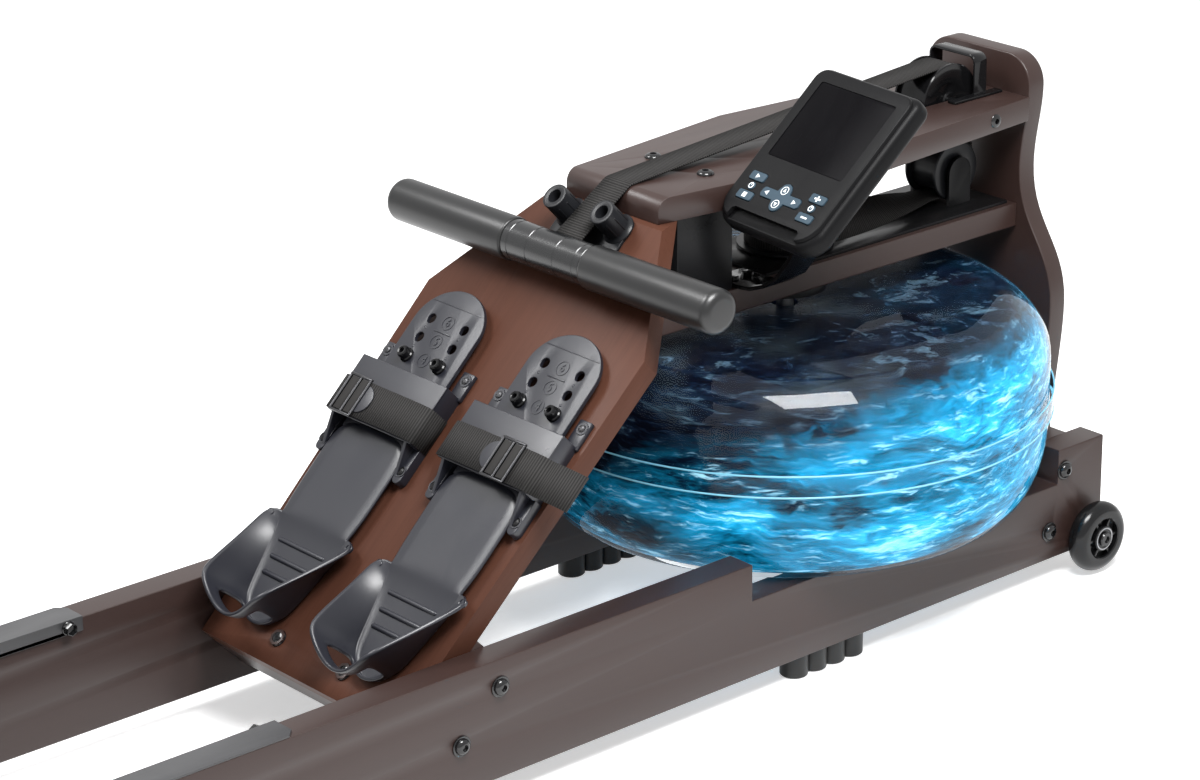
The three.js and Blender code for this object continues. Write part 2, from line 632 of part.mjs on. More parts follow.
function topBoard() {
  const round = TOP_BOARD_NOSE_ROUND;
  const side = new THREE.Shape();
  side.moveTo(PANEL_REAR, TOP_BOARD_BOTTOM);
  side.lineTo(PANEL_REAR, TOP_BOARD_TOP);
  side.absarc(TOP_BOARD_NOSE + round, TOP_BOARD_TOP - round, round, Math.PI / 2, Math.PI);
  side.lineTo(TOP_BOARD_NOSE, TOP_BOARD_BOTTOM);
  const drawn = sideSlab(side, [-TOP_BOARD_WIDE_HALF, TOP_BOARD_WIDE_HALF], SMALL_SIDES / 2);
  const plan = slab(
    polygon([
      [TOP_BOARD_NOSE, -TOP_BOARD_NOSE_HALF],
      [TANK_X, -TOP_BOARD_WIDE_HALF],
      [PANEL_REAR, -PANEL_HEAD_HALF],
      [PANEL_REAR, PANEL_HEAD_HALF],
      [TANK_X, TOP_BOARD_WIDE_HALF],
      [TOP_BOARD_NOSE, TOP_BOARD_NOSE_HALF],
    ]),
    [TOP_BOARD_BOTTOM, TOP_BOARD_TOP],
  );
  const reach = [TOP_PULLEY_X - PULLEY_SLOT_REACH, TOP_PULLEY_X + PULLEY_SLOT_REACH];
  const depth = [TOP_BOARD_BOTTOM - OVERRUN, TOP_BOARD_TOP + OVERRUN];
  const slot = block(reach, [-PULLEY_SLOT_HALF, PULLEY_SLOT_HALF], depth);
  const axleRoom = PULLEY_AXLE_RADIUS + CLEARANCE;
  const groove = block(
    [TOP_PULLEY_X - axleRoom, TOP_PULLEY_X + axleRoom],
    [-AXLE_GROOVE_HALF - CLEARANCE, AXLE_GROOVE_HALF + CLEARANCE],
    [TOP_PULLEY_Z - axleRoom, TOP_BOARD_TOP + OVERRUN],
  );
  const screwHoles = [-NOSE_SCREW_Y, NOSE_SCREW_Y].map((y) => {
    return bar("z", NOSE_SCREW_RADIUS + CLEARANCE, depth, [NOSE_SCREW_X, y], SMALL_SIDES);
  });
  return cut(drawn.intersect(plan), slot, groove, ...screwHoles);
}

// The front panel: a violin outline, narrow at the waist and wide at the belly
const PANEL_HEAD_LOW = PANEL_TOP - PANEL_HEAD_RADIUS;
const BELLY_PULL_SHARES = [0.5, 0.74, 0.46, 0.53];
const WAIST_PULL_SHARES = [0.37, 0.66];

function panelSide(shape, side) {
  const rise = PANEL_BELLY_Z - PANEL_BOTTOM;
  const fall = PANEL_WAIST_Z - PANEL_BELLY_Z;
  const neck = PANEL_HEAD_LOW - PANEL_WAIST_Z;
  const curves = [
    [
      [PANEL_FOOT_HALF, PANEL_BOTTOM + rise * BELLY_PULL_SHARES[0]],
      [PANEL_BELLY_HALF, PANEL_BOTTOM + rise * BELLY_PULL_SHARES[1]],
      [PANEL_BELLY_HALF, PANEL_BELLY_Z],
    ],
    [
      [PANEL_BELLY_HALF, PANEL_BELLY_Z + fall * BELLY_PULL_SHARES[2]],
      [PANEL_WAIST_HALF, PANEL_BELLY_Z + fall * BELLY_PULL_SHARES[3]],
      [PANEL_WAIST_HALF, PANEL_WAIST_Z],
    ],
    [
      [PANEL_WAIST_HALF, PANEL_WAIST_Z + neck * WAIST_PULL_SHARES[0]],
      [PANEL_HEAD_HALF, PANEL_WAIST_Z + neck * WAIST_PULL_SHARES[1]],
      [PANEL_HEAD_HALF, PANEL_HEAD_LOW],
    ],
  ];
  const starts = [
    [PANEL_FOOT_HALF, PANEL_BOTTOM],
    [PANEL_BELLY_HALF, PANEL_BELLY_Z],
    [PANEL_WAIST_HALF, PANEL_WAIST_Z],
  ];
  const order = side > 0 ? [0, 1, 2] : [2, 1, 0];
  for (const i of order) {
    const [a, b, end] = curves[i].map(([y, z]) => [y * side, z]);
    const start = [starts[i][0] * side, starts[i][1]];
    if (side > 0) shape.bezierCurveTo(...a, ...b, ...end);
    else shape.bezierCurveTo(...b, ...a, ...start);
  }
}

function frontPanel() {
  const shape = new THREE.Shape();
  shape.moveTo(PANEL_FOOT_HALF, PANEL_BOTTOM);
  panelSide(shape, 1);
  const corner = PANEL_HEAD_HALF - PANEL_HEAD_RADIUS;
  shape.absarc(corner, PANEL_HEAD_LOW, PANEL_HEAD_RADIUS, 0, Math.PI / 2);
  shape.absarc(-corner, PANEL_HEAD_LOW, PANEL_HEAD_RADIUS, Math.PI / 2, Math.PI);
  panelSide(shape, -1);
  shape.lineTo(PANEL_FOOT_HALF, PANEL_BOTTOM);
  return endSlab(shape, [PANEL_REAR, PANEL_FRONT], 8);
}

machine.add(piece("lower_board", lowerBoard(), WALNUT()));
machine.add(piece("top_board", topBoard(), WALNUT()));
machine.add(piece("front_panel", frontPanel(), WALNUT()));

// The nose bracket: a sheet steel channel that stands on the lower board and carries the top board's nose
const NOSE_BRACKET_SETBACK = 33;
const NOSE_BRACKET_LENGTH = 73;
const NOSE_BRACKET_REAR = TOP_BOARD_NOSE + NOSE_BRACKET_SETBACK;
const NOSE_BRACKET_FRONT = NOSE_BRACKET_REAR + NOSE_BRACKET_LENGTH;
const NOSE_BRACKET_HALF = 58;
const SHEET = 3;
const NOSE_SCREW_HEAD = 8.5;
const NOSE_SCREW_HEAD_HEIGHT = 3.5;

function noseBracket() {
  const across = [-NOSE_BRACKET_HALF, NOSE_BRACKET_HALF];
  const height = [LOWER_BOARD_TOP, TOP_BOARD_BOTTOM];
  const shell = block([NOSE_BRACKET_REAR, NOSE_BRACKET_FRONT], across, height);
  const hollow = block(
    [NOSE_BRACKET_REAR + SHEET, NOSE_BRACKET_FRONT + OVERRUN],
    [across[0] + SHEET, across[1] - SHEET],
    [height[0] + SHEET, height[1] - SHEET],
  );
  const screws = [-NOSE_SCREW_Y, NOSE_SCREW_Y].map((y) => {
    const place = [NOSE_SCREW_X, y];
    const headBottom = TOP_BOARD_TOP + CLEARANCE;
    const shank = [TOP_BOARD_BOTTOM - SHEET, headBottom];
    return join(
      bar("z", NOSE_SCREW_RADIUS, shank, place, SMALL_SIDES),
      bar("z", NOSE_SCREW_HEAD, [headBottom, headBottom + NOSE_SCREW_HEAD_HEIGHT], place, SMALL_SIDES),
    );
  });
  return join(cut(shell, hollow), ...screws);
}

// The tank: two clear shells that meet at a banded seam, the water, the paddle and its bearing
const CORNER_STEPS = 5;
const PIVOT_RADIUS = 16;
const PIVOT_HEIGHT = 5;
const SHAFT_BOTTOM = TANK_FLOOR + TANK_WALL + PIVOT_HEIGHT + CLEARANCE;
const SHAFT_HOLE_GAP = 5;
const FILLER_X = -105;
const FILLER_Y = 110;
const FILLER_RADIUS = 17;
const FILLER_FLANGE_RADIUS = 24;
const FILLER_FLANGE_HEIGHT = 6;
const FILLER_DEPTH = 12;

// The quarter curves of the shells' sections, inset from the outer face
function cornerCurve(centre, run, rise, from, to) {
  return Array.from({ length: CORNER_STEPS + 1 }, (_, i) => {
    const turn = from + ((to - from) * i) / CORNER_STEPS;
    return [centre[0] + Math.cos(turn) * run, centre[1] + Math.sin(turn) * rise];
  });
}

function lowCorner(inset) {
  const centre = [TANK_WALL_RADIUS - TANK_LOW_CORNER_RUN, TANK_FLOOR + TANK_LOW_CORNER_RISE];
  const [run, rise] = [TANK_LOW_CORNER_RUN - inset, TANK_LOW_CORNER_RISE - inset];
  return cornerCurve(centre, run, rise, -Math.PI / 2, 0);
}

function highCorner(inset) {
  const centre = [TANK_WALL_RADIUS - TANK_HIGH_CORNER_RUN, TANK_TOP - TANK_HIGH_CORNER_RISE];
  const [run, rise] = [TANK_HIGH_CORNER_RUN - inset, TANK_HIGH_CORNER_RISE - inset];
  return cornerCurve(centre, run, rise, 0, Math.PI / 2);
}

function lowerShell() {
  const floor = TANK_FLOOR + TANK_WALL;
  return turned(
    [
      [0, TANK_FLOOR],
      ...lowCorner(0),
      [TANK_WALL_RADIUS, SEAM_Z],
      [TANK_WALL_RADIUS - TANK_WALL, SEAM_Z],
      ...lowCorner(TANK_WALL).reverse(),
      [PIVOT_RADIUS, floor],
      [PIVOT_RADIUS, floor + PIVOT_HEIGHT],
      [0, floor + PIVOT_HEIGHT],
    ],
    [TANK_X, 0],
  );
}

function upperShell() {
  const holeRadius = SHAFT_RADIUS + SHAFT_HOLE_GAP;
  const ring = [
    [TANK_WALL_RADIUS, SEAM_Z],
    ...highCorner(0),
    [holeRadius, TANK_TOP],
    [holeRadius, TANK_TOP - TANK_WALL],
    ...highCorner(TANK_WALL).reverse(),
    [TANK_WALL_RADIUS - TANK_WALL, SEAM_Z],
    [TANK_WALL_RADIUS, SEAM_Z],
  ];
  const shell = turned(ring, [TANK_X, 0]);
  const depth = [TANK_TOP - TANK_WALL - OVERRUN, TANK_TOP + OVERRUN];
  const place = [TANK_X + FILLER_X, FILLER_Y];
  return cut(shell, bar("z", FILLER_RADIUS + CLEARANCE, depth, place));
}

function seamBand() {
  const inner = TANK_WALL_RADIUS + CLEARANCE;
  const [low, high] = [SEAM_Z - SEAM_BAND_HEIGHT / 2, SEAM_Z + SEAM_BAND_HEIGHT / 2];
  const rounding = SEAM_BAND_WALL / 2;
  return turned(
    [
      [inner, low],
      [SEAM_RADIUS - rounding, low],
      [SEAM_RADIUS, low + rounding],
      [SEAM_RADIUS, high - rounding],
      [SEAM_RADIUS - rounding, high],
      [inner, high],
      [inner, low],
    ],
    [TANK_X, 0],
  );
}

const PADDLE_RADIUS = 118;
const PADDLE_BOTTOM = TANK_FLOOR + TANK_WALL + 14;
const PADDLE_HEIGHT = 56;
const PADDLE_THICKNESS = 4;
const PADDLES = 6;
const PADDLE_HUB_RADIUS = 22;
const PADDLE_ROOM = 8;
const WATER_RIM_GAP = 4;

function water() {
  const gap = TANK_WALL + CLEARANCE;
  const floor = TANK_FLOOR + gap;
  const paddleRoom = PADDLE_RADIUS + PADDLE_ROOM;
  const paddleTop = PADDLE_BOTTOM + PADDLE_HEIGHT + PADDLE_ROOM;
  const shaftRoom = SHAFT_RADIUS + SHAFT_HOLE_GAP;
  const wall = TANK_WALL_RADIUS - gap;
  const upper = highCorner(gap).filter(([, z]) => z < WATER_LEVEL);
  const rise = (WATER_LEVEL - TANK_TOP + TANK_HIGH_CORNER_RISE) / (TANK_HIGH_CORNER_RISE - gap);
  const arch = (TANK_HIGH_CORNER_RUN - gap) * Math.sqrt(1 - rise * rise);
  const rim = TANK_WALL_RADIUS - TANK_HIGH_CORNER_RUN + arch - WATER_RIM_GAP;
  const outline = [[paddleRoom, floor], ...lowCorner(gap), [wall, SEAM_Z], ...upper, [rim, WATER_LEVEL]];
  return turned(
    [
      ...outline,
      [shaftRoom, WATER_LEVEL],
      [shaftRoom, paddleTop],
      [paddleRoom, paddleTop],
      [paddleRoom, floor],
    ],
    [TANK_X, 0],
  );
}

const HOUSING_RADIUS = 42;
const HOUSING_FLANGE_HEIGHT = 13;
const HOUSING_TOP = LOWER_BOARD_TOP + SHEET + 1;
const DRUM_BOTTOM = HOUSING_TOP + CLEARANCE;
const STRAP_ZONE = STRAP_WIDTH + 4;
const STRAP_ZONE_BOTTOM = DRUM_BOTTOM + DRUM_FLANGE_WALL;
const STRAP_ZONE_TOP = STRAP_ZONE_BOTTOM + STRAP_ZONE;
const SPOOL_BOTTOM = STRAP_ZONE_TOP + DRUM_FLANGE_WALL;
const SPOOL_TOP = SPOOL_BOTTOM + SPOOL_HEIGHT;
const DRUM_TOP = SPOOL_TOP + DRUM_FLANGE_WALL;
const SHAFT_CAP_RADIUS = 15;
const SHAFT_CAP_HEIGHT = 6;

function impeller() {
  const shaftTop = DRUM_TOP + CLEARANCE;
  const paddleTop = PADDLE_BOTTOM + PADDLE_HEIGHT;
  const centre = [TANK_X, 0];
  const shaft = bar("z", SHAFT_RADIUS, [SHAFT_BOTTOM, shaftTop], centre);
  const cap = bar("z", SHAFT_CAP_RADIUS, [shaftTop, shaftTop + SHAFT_CAP_HEIGHT], centre);
  const hub = bar("z", PADDLE_HUB_RADIUS, [PADDLE_BOTTOM, paddleTop], centre);
  const blades = Array.from({ length: PADDLES }, (_, i) => {
    const blade = new THREE.BoxGeometry(PADDLE_RADIUS, PADDLE_THICKNESS, PADDLE_HEIGHT);
    blade.translate(PADDLE_RADIUS / 2, 0, PADDLE_BOTTOM + PADDLE_HEIGHT / 2);
    blade.rotateZ(((i + 0.5) / PADDLES) * Math.PI * 2).translate(TANK_X, 0, 0);
    return solidOf(blade);
  });
  return join(shaft, cap, hub, ...blades);
}

function bearingHousing() {
  const bore = SHAFT_RADIUS + CLEARANCE;
  const flangeTop = TANK_TOP + HOUSING_FLANGE_HEIGHT;
  return turned(
    [
      [bore, TANK_TOP],
      [HOUSING_RADIUS, TANK_TOP],
      [HOUSING_RADIUS, flangeTop],
      [HOUSING_NECK_RADIUS, flangeTop],
      [HOUSING_NECK_RADIUS, HOUSING_TOP],
      [bore, HOUSING_TOP],
      [bore, TANK_TOP],
    ],
    [TANK_X, 0],
    ROUND_SIDES,
  );
}

function fillerPlug() {
  const top = TANK_TOP + CLEARANCE;
  return turned(
    [
      [0, TANK_TOP - FILLER_DEPTH],
      [FILLER_RADIUS, TANK_TOP - FILLER_DEPTH],
      [FILLER_RADIUS, top],
      [FILLER_FLANGE_RADIUS, top],
      [FILLER_FLANGE_RADIUS, top + FILLER_FLANGE_HEIGHT],
      [0, top + FILLER_FLANGE_HEIGHT],
    ],
    [TANK_X + FILLER_X, FILLER_Y],
    ROUND_SIDES,
  );
}

machine.add(piece("tank_lower_shell", lowerShell(), CLEAR()));
machine.add(piece("tank_upper_shell", upperShell(), CLEAR()));
machine.add(piece("tank_seam_band", seamBand(), CLEAR()));
machine.add(piece("water", water(), WATER()));
machine.add(piece("impeller", impeller(), STEEL()));
machine.add(piece("bearing_housing", bearingHousing(), BLACK_PLASTIC()));
machine.add(piece("filler_plug", fillerPlug(), RUBBER()));

// The drum on the shaft: a wide flanged part that winds the strap, and a small spool for the recoil cord
function driveDrum() {
  const bore = SHAFT_RADIUS + CLEARANCE;
  return turned(
    [
      [bore, DRUM_BOTTOM],
      [DRUM_FLANGE, DRUM_BOTTOM],
      [DRUM_FLANGE, STRAP_ZONE_BOTTOM],
      [DRUM_CORE, STRAP_ZONE_BOTTOM],
      [DRUM_CORE, STRAP_ZONE_TOP],
      [DRUM_FLANGE, STRAP_ZONE_TOP],
      [DRUM_FLANGE, SPOOL_BOTTOM],
      [SPOOL_CORE, SPOOL_BOTTOM],
      [SPOOL_CORE, SPOOL_TOP],
      [SPOOL_FLANGE, SPOOL_TOP],
      [SPOOL_FLANGE, DRUM_TOP],
      [bore, DRUM_TOP],
      [bore, DRUM_BOTTOM],
    ],
    [TANK_X, 0],
    ROUND_SIDES,
  );
}

// A flanged pulley on an axle across the machine
function strapPulley([x, z], groove, flange) {
  const bore = PULLEY_AXLE_RADIUS + CLEARANCE;
  const inner = PULLEY_HALF - PULLEY_FLANGE_WALL;
  return turnedAcross(
    [
      [bore, -PULLEY_HALF],
      [flange, -PULLEY_HALF],
      [flange, -inner],
      [groove, -inner],
      [groove, inner],
      [flange, inner],
      [flange, PULLEY_HALF],
      [bore, PULLEY_HALF],
      [bore, -PULLEY_HALF],
    ],
    [x, z],
    WHEEL_SIDES,
  );
}

// The top pulley's bracket: two strips that hold its axle in the board, joined by a loop over the strap
const STRIP_INNER = 30;
const STRIP_OUTER = 41;
const STRIP_THICKNESS = 3;
const STRIP_REACH = 13;
const STRIP_TO_PANEL = 6;
const STRIP_REAR = TOP_PULLEY_X - STRIP_REACH;
const STRIP_FRONT = PANEL_REAR - STRIP_TO_PANEL;
const LOOP_SETBACK = 24;
const LOOP_DEPTH = 18;
const LOOP_REAR = TOP_PULLEY_X + LOOP_SETBACK;
const LOOP_FRONT = LOOP_REAR + LOOP_DEPTH;
const LOOP_TOP = 534;
const LOOP_CORNER = 9;

function topPulleyBracket() {
  const floor = TOP_BOARD_TOP;
  const axleSpan = [-AXLE_GROOVE_HALF, AXLE_GROOVE_HALF];
  const axle = bar("y", PULLEY_AXLE_RADIUS, axleSpan, [TOP_PULLEY_X, TOP_PULLEY_Z]);
  const strips = [-1, 1].map((side) => {
    const across = side < 0 ? [-STRIP_OUTER, -STRIP_INNER] : [STRIP_INNER, STRIP_OUTER];
    return block([STRIP_REAR, STRIP_FRONT], across, [floor, floor + STRIP_THICKNESS]);
  });
  const middle = (floor + LOOP_TOP) / 2;
  const outerHalf = (LOOP_TOP - floor) / 2;
  const inner = STRIP_INNER + STRIP_THICKNESS;
  const outline = roundedOutline(inner, outerHalf, LOOP_CORNER, [0, middle]);
  const innerCorner = LOOP_CORNER - STRIP_THICKNESS;
  const hollow = roundedOutline(STRIP_INNER, outerHalf - STRIP_THICKNESS, innerCorner, [0, middle]);
  const pastLoop = [LOOP_REAR - OVERRUN, LOOP_FRONT + OVERRUN];
  const loopSpan = [LOOP_REAR, LOOP_FRONT];
  const hoop = cut(endSlab(outline, loopSpan, 4), endSlab(hollow, pastLoop, 4));
  const below = [floor - OVERRUN, floor + LOOP_CORNER];
  const opened = cut(hoop, block(pastLoop, [-inner - OVERRUN, inner + OVERRUN], below));
  const legs = [-1, 1].map((side) => {
    const across = side < 0 ? [-inner, -STRIP_INNER] : [STRIP_INNER, inner];
    return block(loopSpan, across, [floor, floor + LOOP_CORNER]);
  });
  return join(axle, opened, ...strips, ...legs);
}

machine.add(piece("drive_drum", driveDrum(), BLACK_PLASTIC()));
const topPulleyPlace = [TOP_PULLEY_X, TOP_PULLEY_Z];
const guidePulleyPlace = [GUIDE_PULLEY_X, GUIDE_PULLEY_Z];
const topPulley = strapPulley(topPulleyPlace, TOP_PULLEY_GROOVE, TOP_PULLEY_FLANGE);
const guidePulley = strapPulley(guidePulleyPlace, GUIDE_PULLEY_GROOVE, GUIDE_PULLEY_FLANGE);
machine.add(piece("top_pulley", topPulley, GLOSS_BLACK()));
machine.add(piece("guide_pulley", guidePulley, BLACK_PLASTIC()));
machine.add(piece("top_pulley_bracket", topPulleyBracket(), GLOSS_BLACK()));

// The recoil cord runs from the spool back round a pulley near the nose and forward to a post
const RECOIL_PULLEY_SETBACK = 80;
const RECOIL_PULLEY_X = TOP_BOARD_NOSE + RECOIL_PULLEY_SETBACK;
const RECOIL_PULLEY_RADIUS = 26;
const RECOIL_PULLEY_FLANGE = 32;
const RECOIL_Z = SPOOL_BOTTOM + SPOOL_HEIGHT / 2;
const CORD_LIFT = CLEARANCE + RECOIL_CORD_RADIUS;
const SPOOL_CORD_Y = -(SPOOL_CORE + CORD_LIFT);
const RECOIL_PULLEY_Y = SPOOL_CORD_Y + RECOIL_PULLEY_RADIUS + CORD_LIFT;
const RECOIL_RETURN_Y = RECOIL_PULLEY_Y + RECOIL_PULLEY_RADIUS + CORD_LIFT;
const RECOIL_POST_FROM_TANK = 111.3;
const RECOIL_POST_X = TANK_X + RECOIL_POST_FROM_TANK;
const RECOIL_POST_RADIUS = 7;
const RECOIL_AXLE_RADIUS = 6;
const RECOIL_PULLEY_HALF = 8;
const RECOIL_PULLEY_WALL = 3;

// The base plate on the lower board: it carries the guide pulley's fork and the two recoil posts
const BASE_HALF = 54;
const BASE_FROM_TANK = 78.7;
const BASE_TO_PANEL = 8;
const BASE_REAR = TANK_X - BASE_FROM_TANK;
const BASE_FRONT = PANEL_REAR - BASE_TO_PANEL;
const BASE_TOP = LOWER_BOARD_TOP + SHEET;
const FORK_INNER = PULLEY_HALF + PULLEY_SIDE_GAP;
const FORK_WALL = 4;
const FORK_HALF_DEPTH = 16;
const POST_CAP_RADIUS = 11;
const POST_CAP_HEIGHT = 5;

function pulleyBase() {
  const plate = block([BASE_REAR, BASE_FRONT], [-BASE_HALF, BASE_HALF], [LOWER_BOARD_TOP, BASE_TOP]);
  const opening = [LOWER_BOARD_TOP - OVERRUN, BASE_TOP + OVERRUN];
  const housingHole = bar("z", HOUSING_NECK_RADIUS + HOUSING_HOLE_GAP, opening, [TANK_X, 0]);
  const walls = [-1, 1].map((side) => {
    const inner = side * FORK_INNER;
    const outer = side * (FORK_INNER + FORK_WALL);
    const across = [Math.min(inner, outer), Math.max(inner, outer)];
    const depth = [GUIDE_PULLEY_X - FORK_HALF_DEPTH, GUIDE_PULLEY_X + FORK_HALF_DEPTH];
    const upright = block(depth, across, [LOWER_BOARD_TOP, GUIDE_PULLEY_Z]);
    return join(upright, bar("y", FORK_HALF_DEPTH, across, guidePulleyPlace));
  });
  const axleSpan = [-FORK_INNER - FORK_WALL, FORK_INNER + FORK_WALL];
  const axle = bar("y", PULLEY_AXLE_RADIUS, axleSpan, guidePulleyPlace);
  const postTop = RECOIL_Z + RECOIL_PULLEY_HALF;
  const place = [RECOIL_POST_X, RECOIL_RETURN_Y];
  const post = bar("z", RECOIL_POST_RADIUS, [LOWER_BOARD_TOP, postTop], place, SMALL_SIDES);
  const postCap = bar("z", POST_CAP_RADIUS, [postTop, postTop + POST_CAP_HEIGHT], place, SMALL_SIDES);
  return join(cut(plate, housingHole), ...walls, axle, post, postCap);
}

function recoilPulley() {
  const bore = RECOIL_AXLE_RADIUS + CLEARANCE;
  const [low, high] = [RECOIL_Z - RECOIL_PULLEY_HALF, RECOIL_Z + RECOIL_PULLEY_HALF];
  return turned(
    [
      [bore, low],
      [RECOIL_PULLEY_FLANGE, low],
      [RECOIL_PULLEY_FLANGE, low + RECOIL_PULLEY_WALL],
      [RECOIL_PULLEY_RADIUS, low + RECOIL_PULLEY_WALL],
      [RECOIL_PULLEY_RADIUS, high - RECOIL_PULLEY_WALL],
      [RECOIL_PULLEY_FLANGE, high - RECOIL_PULLEY_WALL],
      [RECOIL_PULLEY_FLANGE, high],
      [bore, high],
      [bore, low],
    ],
    [RECOIL_PULLEY_X, RECOIL_PULLEY_Y],
    ROUND_SIDES,
  );
}

// The recoil pulley turns on a pin that stands in the nose bracket's floor
function recoilPin() {
  const place = [RECOIL_PULLEY_X, RECOIL_PULLEY_Y];
  const shoulder = RECOIL_Z - RECOIL_PULLEY_HALF - CLEARANCE;
  const top = RECOIL_Z + RECOIL_PULLEY_HALF + CLEARANCE;
  return join(
    bar("z", RECOIL_AXLE_RADIUS, [LOWER_BOARD_TOP + SHEET - CLEARANCE, top], place, SMALL_SIDES),
    bar("z", POST_CAP_RADIUS, [LOWER_BOARD_TOP + SHEET - CLEARANCE, shoulder], place, SMALL_SIDES),
    bar("z", POST_CAP_RADIUS, [top, top + POST_CAP_HEIGHT], place, SMALL_SIDES),
  );
}

function recoilCord() {
  const level = (x, y) => new THREE.Vector3(x, y, RECOIL_Z);
  const wrap = SPOOL_CORE + CORD_LIFT;
  const start = arcPoints([TANK_X, 0], wrap, Math.PI * 0.9, -Math.PI / 2, 14);
  const turn = RECOIL_PULLEY_RADIUS + CORD_LIFT;
  const bend = arcPoints([RECOIL_PULLEY_X, RECOIL_PULLEY_Y], turn, -Math.PI / 2, -Math.PI * 1.5, 10);
  const end = [RECOIL_POST_X - RECOIL_POST_RADIUS - CLEARANCE, RECOIL_RETURN_Y];
  const points = [...start, ...bend, end].map(([x, y]) => level(x, y));
  return levelCord(points, RECOIL_CORD_RADIUS);
}

machine.add(piece("pulley_base", pulleyBase(), BLACK_STEEL()));
machine.add(piece("nose_bracket", join(noseBracket(), recoilPin()), BLACK_STEEL()));
machine.add(piece("recoil_pulley", recoilPulley(), BLACK_PLASTIC()));
machine.add(piece("recoil_cord", recoilCord(), WEBBING()));

// The drive strap: over the nose and the top pulley, under the guide pulley, a quarter twist, the drum
const STRAP_STEP_ANGLE = Math.PI / 12;
const TWIST_STEPS = 8;
const DRUM_WRAP = Math.PI * 1.4;
const STRAP_Z = (STRAP_ZONE_BOTTOM + STRAP_ZONE_TOP) / 2;
const noseCentre = [TOP_BOARD_NOSE + TOP_BOARD_NOSE_ROUND, TOP_BOARD_TOP - TOP_BOARD_NOSE_ROUND];
const noseRadius = TOP_BOARD_NOSE_ROUND + STRAP_LIFT;
const handleCentre = onBoard(HANDLE_S, 0, HANDLE_LIFT);

// The direction, as an angle, from the nose's centre to where the strap from the handle first touches it
function noseTouchAngle() {
  const dx = handleCentre.x - noseCentre[0];
  const dz = handleCentre.z - noseCentre[1];
  const away = Math.atan2(dz, dx) + Math.PI * 2;
  return away - Math.acos(noseRadius / Math.hypot(dx, dz));
}

// The common direction in which the strap touches the nose and the top pulley
function topRunAngle() {
  const dx = TOP_PULLEY_X - noseCentre[0];
  const dz = TOP_PULLEY_Z - noseCentre[1];
  const reach = noseRadius - (TOP_PULLEY_GROOVE + STRAP_LIFT);
  return Math.atan2(dz, dx) + Math.acos(reach / Math.hypot(dx, dz));
}

function arcRun(centre, radius, from, to) {
  const steps = Math.max(2, Math.ceil(Math.abs(to - from) / STRAP_STEP_ANGLE));
  return arcPoints(centre, radius, from, to, steps);
}

function driveStrap() {
  const acrossY = new THREE.Vector3(0, 1, 0);
  const upright = [
    ...arcRun(noseCentre, noseRadius, noseTouchAngle() - STRAP_STEP_ANGLE / 2, topRunAngle()),
    ...arcRun(topPulleyPlace, TOP_PULLEY_GROOVE + STRAP_LIFT, topRunAngle(), 0),
    ...arcRun(guidePulleyPlace, GUIDE_PULLEY_GROOVE + STRAP_LIFT, 0, -Math.PI / 2),
  ];
  const run = upright.map(([x, z]) => ({ at: new THREE.Vector3(x, 0, z), across: acrossY }));
  const from = run[run.length - 1].at.clone();
  from.x -= GUIDE_PULLEY_FLANGE + PULLEY_SIDE_GAP;
  const drumRadius = DRUM_CORE + STRAP_LIFT;
  const touch = -Math.acos(drumRadius / (from.x - TANK_X));
  const [ahead, aside] = [Math.cos(touch) * drumRadius, Math.sin(touch) * drumRadius];
  const to = new THREE.Vector3(TANK_X + ahead, aside, STRAP_Z);
  for (let i = 0; i < TWIST_STEPS; i += 1) {
    const share = i / TWIST_STEPS;
    const turn = (share * Math.PI) / 2;
    const across = new THREE.Vector3(0, Math.cos(turn), Math.sin(turn));
    run.push({ at: from.clone().lerp(to, share), across });
  }
  const upZ = new THREE.Vector3(0, 0, 1);
  for (const [x, y] of arcRun([TANK_X, 0], drumRadius, touch, touch - DRUM_WRAP)) {
    run.push({ at: new THREE.Vector3(x, y, STRAP_Z), across: upZ });
  }
  return band(run, STRAP_WIDTH, STRAP_THICKNESS);
}

function handleStrap() {
  const angle = noseTouchAngle();
  const touch = new THREE.Vector3(
    noseCentre[0] + Math.cos(angle) * noseRadius,
    0,
    noseCentre[1] + Math.sin(angle) * noseRadius,
  );
  const along = touch.clone().sub(handleCentre).normalize();
  const start = handleCentre.clone().addScaledVector(along, SLEEVE_RADIUS + CLEARANCE);
  const end = touch.clone().addScaledVector(along, -noseRadius * STRAP_STEP_ANGLE);
  const acrossY = new THREE.Vector3(0, 1, 0);
  const steps = 6;
  const run = Array.from({ length: steps + 1 }, (_, i) => {
    return { at: start.clone().lerp(end, i / steps), across: acrossY };
  });
  return band(run, STRAP_WIDTH, STRAP_THICKNESS);
}

machine.add(piece("drive_strap", driveStrap(), WEBBING()));
machine.add(piece("handle_strap", handleStrap(), WEBBING()));

// The transport wheels, outside the rails at the tank end, on one rod
const WHEEL_INNER = RAIL_OUTER + WHEEL_GAP;
const WHEEL_OUTER = WHEEL_INNER + WHEEL_WIDTH;
const WHEEL_EDGE = 3;
const WHEEL_DISH = 5;
const WHEEL_RIM_RADIUS = 30;
const WHEEL_HUB_RADIUS = 13;
const AXLE_CAP_RADIUS = 9;
const AXLE_CAP_HEIGHT = 3;

